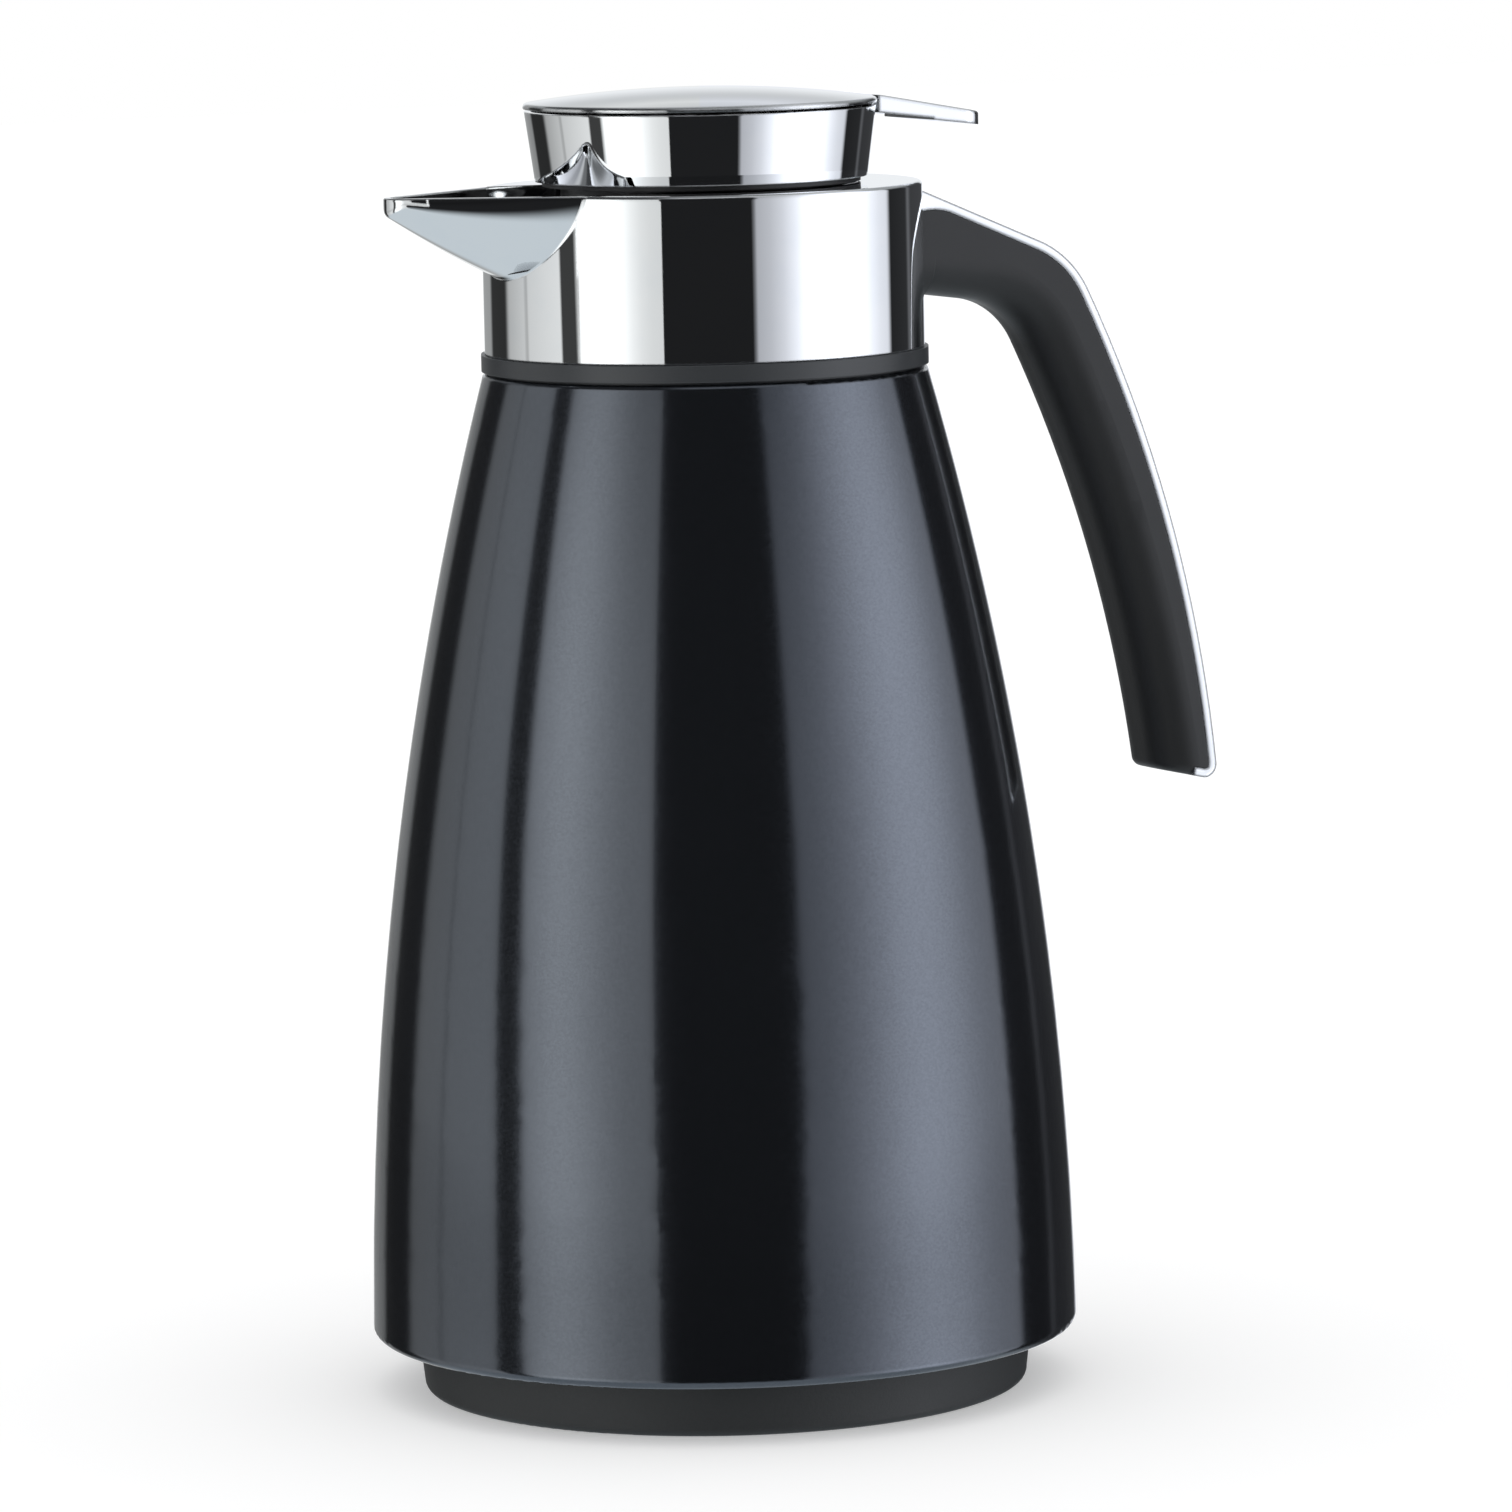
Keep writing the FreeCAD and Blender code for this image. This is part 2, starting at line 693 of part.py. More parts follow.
def return_spring():
    """Coil between the plug and the stopper's ceiling, in quarter turns."""
    z0 = plug_z1 + seated + spring_wire_r
    pitch = (ceiling_z0 - seated - spring_wire_r - z0) / spring_turns
    edges = []
    for i in range(4 * spring_turns):
        turn0 = i / 4
        turn1 = (i + 1) / 4
        edges += biarc(helix_point(turn0, z0, pitch), helix_heading(turn0, pitch),
                       helix_point(turn1, z0, pitch), helix_heading(turn1, pitch))
    path = Part.Wire(Part.__sortEdges__(edges))
    start = helix_point(0, z0, pitch)
    section = Part.Wire(Part.makeCircle(spring_wire_r, start, helix_heading(0, pitch)))
    points = [helix_point(i / 24, z0, pitch) for i in range(24 * spring_turns + 1)]
    gap = min((a - b).Length for i, a in enumerate(points) for b in points[i + 12:]) - 2 * spring_wire_r
    print("spring's least gap to itself %.2f mm" % gap)
    return path.makePipeShell([section], True, False)


def dome(inset, edge_z):
    """Solid under the cover's sphere, moved in by a skin thickness, down to a flat edge."""
    radius = dome_r - inset
    edge_r = lid_rim_r
    crown = V(0, 0, dome_centre_z + radius)
    rim = V(edge_r, 0, dome_centre_z + math.sqrt(radius ** 2 - edge_r ** 2))
    half = edge_r / 2
    middle = V(half, 0, dome_centre_z + math.sqrt(radius ** 2 - half ** 2))
    top = Part.Arc(crown, middle, rim).toShape()
    lines = [rim, V(edge_r, 0, edge_z), V(0, 0, edge_z), crown]
    sides = [Part.LineSegment(a, b).toShape() for a, b in zip(lines, lines[1:])]
    return Part.Face(Part.Wire([top] + sides)).revolve(V(0, 0, 0), UP, 360)


def lever():
    """Thumb lever: a wedge that carries the dome's slope outwards, with rounded corners."""
    start = lid_rim_r - lever_inset
    fall = math.tan(math.radians(lever_slope))
    tip_z = rim_z - (lever_reach - lid_rim_r) * fall
    root_z = rim_z + lever_inset * fall
    root_low = rim_z - lever_root_depth + lever_inset * fall / 2
    half = lever_width / 2
    tip_low = tip_z - lever_tip_depth
    lip_x = lever_reach - lever_lip_length
    lip_z = tip_low + (root_low - tip_low) * lever_lip_length / (lever_reach - start)
    side = [V(start, -half, root_low), V(lip_x, -half, lip_z), V(lip_x, -half, lip_z - lever_lip),
            V(lever_reach, -half, tip_low - lever_lip), V(lever_reach, -half, tip_z), V(start, -half, root_z)]
    wedge = Part.Face(Part.makePolygon(side + [side[0]])).extrude(V(0, lever_width, 0))
    corners = [e for e in wedge.Edges if abs(e.CenterOfMass.x - lever_reach) < 1e-3
               and e.BoundBox.YLength < 1e-3]
    wedge = wedge.makeFillet(lever_corner, corners)
    ends = [e for e in wedge.Edges if e.CenterOfMass.z > tip_z - lever_tip_depth / 4
            and e.CenterOfMass.x > lever_reach - 2 * lever_corner]
    wedge = wedge.makeFillet(lever_tip_depth / 4, ends)
    low = tip_low - lever_lip
    outside = slab(lid_rim_r - past, lever_reach, -half, half, low, rim_z)
    return wedge.common(dome(0.0, low).fuse(outside))


def lid_cover():
    edge_z = rim_z - cover_rim
    skin = dome(0.0, edge_z)
    rim = [e for e in skin.Edges if e.Closed and abs(e.CenterOfMass.z - rim_z) < 1e-3]
    skin = skin.makeFillet(cover_round, rim)
    hollow = dome(cover_skin, edge_z - past)
    under_skin = dome(cover_skin / 2, carrier_z1)
    bosses = [spun(cylinder(cover_boss_r, carrier_z1, rim_z + cover_rise, cover_screw_circle_r), a)
              for a in cover_screw_angles]
    bosses = [boss.common(under_skin) for boss in bosses]
    hole_z1 = carrier_z0 + cover_screw_length + cover_screw_end
    holes = [spun(cylinder(cover_screw_r + seated, carrier_z0, hole_z1, cover_screw_circle_r), a)
             for a in cover_screw_angles]
    return skin.cut(hollow).fuse(bosses + [lever()]).cut(holes).removeSplitter()


def cover_carrier():
    plate = cylinder(carrier_r, carrier_z0, carrier_z1)
    ear_y = post_half + loose
    parts = []
    for side in (-1, 1):
        y0, y1 = sorted((side * ear_y, side * (ear_y + ear_width)))
        parts.append(slab(pivot_x - ear_r, pivot_x + ear_r, y0, y1, pivot_z, carrier_z1))
        parts.append(rod(ear_r, V(pivot_x, y0, pivot_z), V(pivot_x, y1, pivot_z)))
        fork_y = stem_r + loose
        y0, y1 = sorted((side * fork_y, side * (fork_y + fork_width)))
        parts.append(slab(-fork_half, fork_half, y0, y1, cross_pin_z - fork_margin, carrier_z1))
    reach = post_half + 2 * loose + ear_width
    bore = rod(pin_r + running, V(pivot_x, -reach, pivot_z), V(pivot_x, reach, pivot_z))
    slot_half = cross_pin_r + loose
    slot = slab(-slot_half - loose, slot_half + loose, -reach, reach,
                cross_pin_z - slot_half, cross_pin_z + slot_half)
    holes = [spun(cylinder(cover_screw_r + seated, carrier_z0, carrier_z1, cover_screw_circle_r), a)
             for a in cover_screw_angles]
    return plate.fuse(parts).cut([bore, slot] + holes).removeSplitter()


def cover_screws():
    screw = cylinder(cover_screw_r, carrier_z0, carrier_z0 + cover_screw_length, cover_screw_circle_r)
    head = cylinder(cover_screw_head_r, carrier_z0 - cover_screw_head, carrier_z0, cover_screw_circle_r)
    screw = screw.fuse(head).removeSplitter()
    return Part.makeCompound([spun(screw, angle) for angle in cover_screw_angles])


def valve_stem():
    bottom = plug_z0 - valve_seal - nut_height
    stem = cylinder(stem_r, bottom, cross_pin_z + stem_head)
    return stem.cut(rod(cross_pin_r + running, V(0, -stem_r, cross_pin_z), V(0, stem_r, cross_pin_z)))


def valve_plug_disc():
    return ring(stem_r + running, valve_hole_r + valve_seat, plug_z0, plug_z1)


def valve_seal_washer():
    return ring(stem_r + running, valve_hole_r + valve_seat, plug_z0 - valve_seal, plug_z0)


def valve_nut():
    z1 = plug_z0 - valve_seal
    corners = [V(nut_r * math.cos(math.pi / 3 * i), nut_r * math.sin(math.pi / 3 * i), z1 - nut_height)
               for i in range(7)]
    nut = Part.Face(Part.makePolygon(corners)).extrude(V(0, 0, nut_height))
    return nut.cut(cylinder(stem_r + running, z1 - nut_height, z1))


def valve_pin():
    end = stem_r + loose + fork_width
    return rod(cross_pin_r, V(0, -end, cross_pin_z), V(0, end, cross_pin_z))


def handle_outer_run(inset, sunk):
    """Outer edge of the handle from the collar round to its lower end."""
    start = V(collar_r, 0, collar_z1 - handle_drop)
    lean = math.radians(handle_slope)
    start = start + V(-math.cos(lean), 0, math.sin(lean)) * sunk
    turn_left = 180 + handle_end_slope - handle_slope - handle_bend - handle_sweep
    moves = [(handle_run + sunk,), (handle_bend_r, handle_bend), (handle_sweep_r, handle_sweep),
             (handle_corner_r, turn_left), (strip_end,)]
    return run(start, -handle_slope, moves, inset)


def handle_bar(drop):
    """Handle as a bar with a rounded inner side, its underside lowered by a drop."""
    outer, outer_end, _ = handle_outer_run(0.0, handle_sunk)
    start = V(collar_r, 0, collar_z1 - handle_drop - handle_root_height - drop)
    lean = math.radians(handle_under_slope)
    start = start + V(-math.cos(lean), 0, math.sin(lean)) * handle_sunk
    moves = [(handle_under_run + handle_sunk,), (handle_under_bend_r, handle_under_bend),
             (handle_under_sweep_r, handle_under_sweep)]
    inner, inner_end, _ = run(start, -handle_under_slope, moves)
    root = Part.LineSegment(start, outer[0].Vertexes[0].Point).toShape()
    end = Part.LineSegment(inner_end, outer_end).toShape()
    face = Part.Face(Part.Wire(Part.__sortEdges__(outer + inner + [root, end])))
    half = handle_width / 2
    face.translate(V(0, -half, 0))
    bar = face.extrude(V(0, handle_width, 0))
    middles = [e.CenterOfMass for e in inner]
    long_edges = []
    for edge in bar.Edges:
        flat = V(edge.CenterOfMass.x, 0, edge.CenterOfMass.z)
        if edge.BoundBox.YLength < 1e-3 and any((flat - m).Length < 1e-3 for m in middles):
            long_edges.append(edge)
    bar = bar.makeFillet(handle_round, long_edges)
    foot = min(bar.Faces, key=lambda f: (f.CenterOfMass - end.CenterOfMass).Length)
    rounds = [e for e in foot.Edges if e.CenterOfMass.x < end.CenterOfMass.x - past]
    return bar.makeFillet(handle_under_corner_r, rounds)


def strip_shape(play):
    """Bright strip over the handle's outer edge: a skin with two side flanges and a hook at the root."""
    half = handle_width / 2

    def band(depth, y0, y1):
        outer, outer_end, _ = handle_outer_run(0.0, handle_sunk)
        inner, inner_end, _ = handle_outer_run(depth, handle_sunk)
        ends = [Part.LineSegment(outer[0].Vertexes[0].Point, inner[0].Vertexes[0].Point).toShape(),
                Part.LineSegment(outer_end, inner_end).toShape()]
        face = Part.Face(Part.Wire(Part.__sortEdges__(outer + inner + ends)))
        face.translate(V(0, y0, 0))
        return face.extrude(V(0, y1 - y0, 0))

    wall = strip_flange_wall + play
    lean = math.radians(handle_slope)
    along = V(math.cos(lean), 0, -math.sin(lean))
    down = V(-math.sin(lean), 0, -math.cos(lean))
    root = V(collar_r, 0, collar_z1 - handle_drop) - along * handle_sunk
    reach = handle_sunk + strip_hook_length
    low = root + down * (strip_hook + play)
    toe = low + along * (handle_sunk + strip_hook_toe)
    waist = root + down * (strip_flange + play) + along * reach
    swell = (toe + waist) * 0.5 - down * strip_hook_swell
    edges = [Part.LineSegment(root, low).toShape(), Part.LineSegment(low, toe).toShape(),
             Part.Arc(toe, swell, waist).toShape(),
             Part.LineSegment(waist, root + along * reach).toShape(),
             Part.LineSegment(root + along * reach, root).toShape()]
    pieces = [band(strip_skin + play, -half, half)]
    for y0 in (-half, half - wall):
        hook = Part.Face(Part.Wire(edges))
        hook.translate(V(0, y0, 0))
        pieces.append(hook.extrude(V(0, wall, 0)))
        pieces.append(band(strip_flange + play, y0, y0 + wall))
    return pieces[0].fuse(pieces[1:]).removeSplitter()


def handle_strip():
    root_cut = cylinder(collar_r + seated, collar_z0, collar_z1 + handle_sunk)
    return strip_shape(0.0).cut(root_cut)


def handle_screw_holes():
    holes = []
    for drop in handle_screw_drops:
        z = collar_z1 - drop
        start = V(collar_in_r - past, 0, z)
        end = V(collar_in_r + handle_screw_length + past, 0, z)
        holes.append(rod(handle_screw_r + seated, start, end))
    return holes


def handle_body():
    lip_slab = slab(0, collar_r + handle_lip_length, -handle_width, handle_width, 0, collar_z1)
    bar = handle_bar(0.0).fuse(handle_bar(handle_lip).common(lip_slab)).removeSplitter()
    root_cut = cylinder(collar_r + seated, collar_z0, collar_z1 + handle_sunk)
    return bar.cut([strip_shape(seated), root_cut] + handle_screw_holes())


def handle_screws():
    screws = []
    for drop in handle_screw_drops:
        z = collar_z1 - drop
        face = collar_in_r - handle_screw_head_r ** 2 / collar_in_r
        shank = rod(handle_screw_r, V(face, 0, z), V(collar_in_r + handle_screw_length, 0, z))
        head = rod(handle_screw_head_r, V(face - handle_screw_head, 0, z), V(face, 0, z))
        screws.append(shank.fuse(head).removeSplitter())
    return Part.makeCompound(screws)


PIECES = {
    "outer_shell": outer_shell, "base_ring": base_ring, "base_cap": base_cap,
    "liner_cushion": liner_cushion, "liner_outer_bottle": liner_outer_bottle,
    "liner_inner_bottle": liner_inner_bottle, "liner_pads": liner_pads, "neck_gasket": neck_gasket,
    "neck_insert": neck_insert, "joint_ring": joint_ring, "collar": collar,
    "collar_screws": collar_screws, "handle_body": handle_body, "handle_strip": handle_strip,
    "handle_screws": handle_screws, "stopper_seal": stopper_seal, "lid_ring": lid_ring,
    "stopper_body": stopper_body, "hinge_pin": hinge_pin, "return_spring": return_spring,
    "lid_cover": lid_cover, "cover_carrier": cover_carrier, "cover_screws": cover_screws,
    "valve_stem": valve_stem, "valve_plug": valve_plug_disc, "valve_seal": valve_seal_washer,
    "valve_nut": valve_nut, "valve_pin": valve_pin,
}

os.makedirs("parts", exist_ok=True)
for name, build in PIECES.items():
    shape = build()
    print("%-20s solids %d valid %s volume %.0f" % (name, len(shape.Solids), shape.isValid(), shape.Volume))
    shape.exportStep("parts/%s.step" % name)
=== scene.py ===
"""Looks, light and camera for a vacuum serving jug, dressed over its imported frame."""

from __future__ import annotations

import logging
import math
from dataclasses import dataclass, field
from enum import Enum
from typing import Any, ClassVar, Sequence

import bmesh
import bpy
from mathutils import Matrix, Vector

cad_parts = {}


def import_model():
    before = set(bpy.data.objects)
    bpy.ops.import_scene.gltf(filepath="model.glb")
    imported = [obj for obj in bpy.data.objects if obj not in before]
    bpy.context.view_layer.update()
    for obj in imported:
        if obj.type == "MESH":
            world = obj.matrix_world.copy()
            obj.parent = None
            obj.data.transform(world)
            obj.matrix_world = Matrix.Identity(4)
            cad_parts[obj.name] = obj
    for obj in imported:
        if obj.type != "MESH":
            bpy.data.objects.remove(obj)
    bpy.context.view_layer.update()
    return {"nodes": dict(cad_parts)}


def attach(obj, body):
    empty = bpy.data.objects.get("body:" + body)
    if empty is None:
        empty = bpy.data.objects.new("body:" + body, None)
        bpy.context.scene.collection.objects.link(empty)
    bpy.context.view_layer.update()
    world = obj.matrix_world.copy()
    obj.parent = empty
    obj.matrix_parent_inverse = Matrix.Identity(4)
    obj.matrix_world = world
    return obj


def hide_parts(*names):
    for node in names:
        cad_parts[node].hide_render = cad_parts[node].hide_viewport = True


LOG = logging.getLogger("jug")

# One millimetre, in metres.
MM = 0.001
# Points that are nearer than this become one, in metres.
MERGE = 2e-6
# Halvings of a search for a place on the spout.
HALVINGS = 40
# Parts of the bend at the nose's foot, the nose's height, the way in from the collar and each rim edge.
BEND_STEPS = 5
NOSE_STEPS = 4
LEAD_STEPS = 6
RIM_STEPS = 4
# How far up its sides the spout's skins go before the rim starts.
RIM_SHARE = 0.988
# How far the deck stands back from the spout's inside, in millimetres.
TUCK = 0.05
# Width of the narrow step at the ends of a ring, so that its round shading stops there.
SEAM = math.radians(0.03)

Rgb = tuple[float, float, float]
Place = tuple[float, float, float]
Span = tuple[float, float]


def rgba(colour: Rgb) -> tuple[float, float, float, float]:
    """Colour with full alpha, as sockets take it."""
    return (*colour, 1.0)


class Wire:
    """A value socket that takes part in Python expressions."""

    def __init__(self, graph: "Graph", socket: bpy.types.NodeSocket) -> None:
        """Keep the socket and the graph that it belongs to."""
        self.graph = graph
        self.socket = socket

    def math(self, operation: str, *others: Any) -> "Wire":
        """Add a Math node to this value.

        Args:
            operation: the Math node's operation.
            others: further values or wires, in order.

        Returns:
            The result.
        """
        return self.graph.node("ShaderNodeMath", {"operation": operation}, [self, *others])

    def __add__(self, other: Any) -> "Wire":
        """Sum."""
        return self.math("ADD", other)

    __radd__ = __add__

    def __mul__(self, other: Any) -> "Wire":
        """Product."""
        return self.math("MULTIPLY", other)

    __rmul__ = __mul__

    def __sub__(self, other: Any) -> "Wire":
        """Difference."""
        return self.math("SUBTRACT", other)

    def __rsub__(self, other: Any) -> "Wire":
        """Difference, with a plain number in front."""
        return self.graph.node("ShaderNodeMath", {"operation": "SUBTRACT"}, [other, self])

    def __truediv__(self, other: Any) -> "Wire":
        """Quotient."""
        return self.math("DIVIDE", other)

    def ramp(self, low: float, high: float, to_low: float = 0.0, to_high: float = 1.0) -> "Wire":
        """Smooth step from one range of values to another.

        Args:
            low: value where the step starts.
            high: value where it ends.
            to_low: result at and before the start.
            to_high: result at and after the end.

        Returns:
            The stepped value.
        """
        values = {"Value": self, "From Min": low, "From Max": high, "To Min": to_low, "To Max": to_high}
        return self.graph.node("ShaderNodeMapRange", {"interpolation_type": "SMOOTHSTEP"}, values)


class Graph:
    """A node tree, with one method that makes any node in it."""

    # Numbers of the Mix node's factor, two colours and result, because their names aren't unique.
    MIX_INPUTS: ClassVar[tuple[int, int, int]] = (0, 6, 7)
    MIX_OUTPUT: ClassVar[int] = 2
    # How far the eased normal leans, as one less the cosine, where an edge starts and where it is whole.
    EDGE_RANGE: ClassVar[Span] = (0.01, 0.12)

    def __init__(self, tree: bpy.types.NodeTree) -> None:
        """Empty the tree."""
        self.tree = tree
        tree.nodes.clear()

    def node(self, kind: str, settings: dict[str, Any] | None = None,
             values: dict[Any, Any] | Sequence[Any] | None = None, out: int | str = 0) -> Wire:
        """Add one node.

        Args:
            kind: the node's type name.
            settings: properties, set first; "stops" fills a colour ramp.
            values: numbers, colours or wires for its inputs, by name or in order.
            out: the output to give back.

        Returns:
            The chosen output.
        """
        made = self.tree.nodes.new(kind)
        for name, value in (settings or {}).items():
            if name == "stops":
                self._fill_ramp(made.color_ramp, value)
            else:
                setattr(made, name, value)
        pairs = values.items() if isinstance(values, dict) else enumerate(values or [])
        for key, value in pairs:
            if value is None:
                continue
            socket = made.inputs[key]
            if isinstance(value, Wire):
                self.tree.links.new(value.socket, socket)
            else:
                socket.default_value = value
        return Wire(self, made.outputs[out]) if len(made.outputs) else Wire(self, None)

    @staticmethod
    def _fill_ramp(ramp: bpy.types.ColorRamp, stops: Sequence[tuple[float, Rgb]]) -> None:
        """Set a ramp's stops.

        Args:
            ramp: the ramp of a colour ramp node.
            stops: places from 0 to 1 with their colours.
        """
        while len(ramp.elements) > 1:
            ramp.elements.remove(ramp.elements[-1])
        ramp.elements[0].position = stops[0][0]
        ramp.elements[0].color = rgba(stops[0][1])
        for place, colour in stops[1:]:
            ramp.elements.new(place).color = rgba(colour)

    def colours(self, place: Wire, stops: Sequence[tuple[float, Rgb]]) -> Wire:
        """Colour ramp, read at a place from 0 to 1."""
        return self.node("ShaderNodeValToRGB", {"stops": stops}, [place], "Color")

    def mix(self, factor: Any, first: Any, second: Any) -> Wire:
        """Blend two colours.

        Args:
            factor: 0 for the first, 1 for the second.
            first: a colour or wire.
            second: a colour or wire.

        Returns:
            The blended colour.
        """
        ends = [value if isinstance(value, Wire) else rgba(value) for value in (first, second)]
        values = dict(zip(self.MIX_INPUTS, (factor, *ends)))
        return self.node("ShaderNodeMix", {"data_type": "RGBA"}, values, self.MIX_OUTPUT)

    def dot(self, first: Any, second: Any) -> Wire:
        """Dot product of two vectors."""
        return self.node("ShaderNodeVectorMath", {"operation": "DOT_PRODUCT"}, [first, second], "Value")

    def place(self) -> Wire:
        """Point on the object, in its own metres."""
        return self.node("ShaderNodeTexCoord", out="Object")

    def noise(self, place: Wire, scale: float, detail: float = 2.0, roughness: float = 0.5) -> Wire:
        """Noise around one half.

        Args:
            place: where it is read.
            scale: features per metre.
            detail: octaves.
            roughness: strength of the finer octaves.

        Returns:
            The noise value.
        """
        values = {"Vector": place, "Scale": scale, "Detail": detail, "Roughness": roughness}
        return self.node("ShaderNodeTexNoise", {"noise_dimensions": "3D"}, values)

    def eased(self, radius: float, samples: int = 4) -> Wire:
        """Normal with the edges rounded off, by a radius in metres."""
        return self.node("ShaderNodeBevel", {"samples": samples}, {"Radius": radius})

    def edges(self, eased: Wire) -> Wire:
        """Mask of a piece's outer edges.

        Args:
            eased: the eased normal.

        Returns:
            0 on faces, up to 1 on edges.
        """
        flat = self.node("ShaderNodeNewGeometry", out="Normal")
        return (1.0 - self.dot(eased, flat)).ramp(*self.EDGE_RANGE)

    def bump(self, height: Wire, strength: float, distance: float, normal: Wire | None = None) -> Wire:
        """Normal that follows small heights on the surface.

        Args:
            height: the heights, from 0 to 1.
            strength: how much of them shows.
            distance: the highest one in metres.
            normal: the normal that they start from, where it isn't the piece's own.

        Returns:
            The normal.
        """
        values = {"Strength": strength, "Distance": distance, "Height": height, "Normal": normal}
        return self.node("ShaderNodeBump", None, values)

    def lifted(self, shape: Wire, height: Wire) -> Wire:
        """Shape moved up by a height."""
        place = self.node("ShaderNodeCombineXYZ", None, {"Z": height})
        return self.node("GeometryNodeTransform", None, {"Geometry": shape, "Translation": place})

    def joined(self, operation: str, shapes: Sequence[Wire], base: Wire | None = None) -> Wire:
        """Combine solids.

        Args:
            operation: the boolean node's operation.
            shapes: the solids.
            base: the solid that they are cut from, where there is one.

        Returns:
            The combined solid.
        """
        settings = {"operation": operation, "solver": "EXACT"}
        made = self.node("GeometryNodeMeshBoolean", settings, {"Mesh 1": base})
        for shape in shapes:
            self.tree.links.new(shape.socket, made.socket.node.inputs["Mesh 2"])
        return made


@dataclass(frozen=True)
class Finish:
    """A surface finish, made once as a material."""

    name: str

    def shade(self, graph: Graph) -> dict[str, Any]:
        """Values for the surface shader's sockets.

        Args:
            graph: the material's node tree.

        Returns:
            Numbers, colours and wires by socket name.
        """
        raise NotImplementedError

    def make(self) -> bpy.types.Material:
        """Build the material.

        Returns:
            The material, ready to assign.
        """
        material = bpy.data.materials.new(self.name)
        material.use_nodes = True
        graph = Graph(material.node_tree)
        surface = graph.node("ShaderNodeBsdfPrincipled", None, self.shade(graph))
        graph.node("ShaderNodeOutputMaterial", None, {"Surface": surface})
        return material


@dataclass(frozen=True)
class MetallicLacquer(Finish):
    """Dark metallic paint with fine flake under a clear coat."""

    tone: Rgb = (0.122, 0.135, 0.158)
    deep: Rgb = (0.098, 0.109, 0.128)
    bare: Rgb = (0.30, 0.31, 0.33)
    flakes_per_metre: float = 2600.0
    clouds_per_metre: float = 900.0
    waves_per_metre: float = 14.0
    smudges_per_metre: float = 38.0
    smudge_range: Span = (0.48, 0.78)
    flake_share: float = 0.7
    cloud_share: float = 0.3
    wave_strength: float = 0.02
    wave_depth: float = 0.0004
    metallic: float = 0.95
    roughness: float = 0.105
    flake_rough: float = 0.04
    smudge_rough: float = 0.02
    coat: float = 0.35
    coat_rough: float = 0.03
    edge: float = 0.0005
    rub_least: float = 0.15
    rub_more: float = 0.45

    def shade(self, graph: Graph) -> dict[str, Any]:
        """Flake in the colour and the roughness, faint waves in the coat, and paint rubbed thin on edges.

        Args:
            graph: the material's node tree.

        Returns:
            Numbers, colours and wires by socket name.
        """
        place = graph.place()
        flake = graph.node("ShaderNodeTexVoronoi", {"feature": "F1"},
                           {"Vector": place, "Scale": self.flakes_per_metre}, "Color")
        spark = graph.node("ShaderNodeSeparateColor", None, [flake])
        cloud = graph.noise(place, self.clouds_per_metre, detail=3.0)
        depth = spark * self.flake_share + cloud * self.cloud_share
        wave = graph.noise(place, self.waves_per_metre, detail=1.0)
        mottle = graph.noise(place, self.smudges_per_metre, detail=5.0, roughness=0.62)
        smudge = mottle.ramp(*self.smudge_range)
        eased = graph.eased(self.edge)
        bump = graph.bump(wave, self.wave_strength, self.wave_depth, eased)
        rubbed = graph.edges(eased) * (smudge * self.rub_more + self.rub_least)
        paint = graph.mix(depth, self.deep, self.tone)
        return {"Base Color": graph.mix(rubbed, paint, self.bare), "Metallic": self.metallic,
                "Roughness": self.roughness + spark * self.flake_rough + smudge * self.smudge_rough,
                "Coat Weight": self.coat, "Coat Roughness": self.coat_rough, "Normal": bump}


@dataclass(frozen=True)
class MirrorPlate(Finish):
    """Bright plating with hair-fine wiping marks."""

    tone: Rgb = (0.93, 0.94, 0.95)
    hazed: Rgb = (0.965, 0.975, 0.985)
    # Painted shade: a near-black colour, mixed onto the edges by the share below, stands in for the mirror's
    # dark outline.
    edge_shade_colour: Rgb = (0.05, 0.052, 0.056)
    edge: float = 0.0005
    painted_edge_shade: float = 0.0
    hazes_per_metre: float = 60.0
    haze_range: Span = (0.45, 0.75)
    marks_per_metre: Place = (30.0, 30.0, 2400.0)
    mark_range: Span = (0.58, 0.80)
    roughness: float = 0.015
    haze_rough: float = 0.012
    mark_rough: float = 0.02

    def shade(self, graph: Graph) -> dict[str, Any]:
        """Soft haze from wiping, eased edges, and painted shade that darkens the edges into a dark outline.

        Args:
            graph: the material's node tree.

        Returns:
            Numbers, colours and wires by socket name.
        """
        place = graph.place()
        cloud = graph.noise(place, self.hazes_per_metre, detail=4.0, roughness=0.6)
        haze = cloud.ramp(*self.haze_range)
        wiped = graph.node("ShaderNodeMapping", None, {"Vector": place, "Scale": self.marks_per_metre})
        marks = graph.noise(wiped, 1.0, detail=3.0).ramp(*self.mark_range)
        eased = graph.eased(self.edge, samples=6)
        cool = tuple(c * f for c, f in zip(self.tone, self.hazed))
        plating = graph.mix(haze, self.tone, cool)
        return {"Base Color": graph.mix(graph.edges(eased) * self.painted_edge_shade, plating, self.edge_shade_colour),
                "Metallic": 1.0, "Normal": eased,
                "Roughness": self.roughness + haze * self.haze_rough + marks * self.mark_rough}


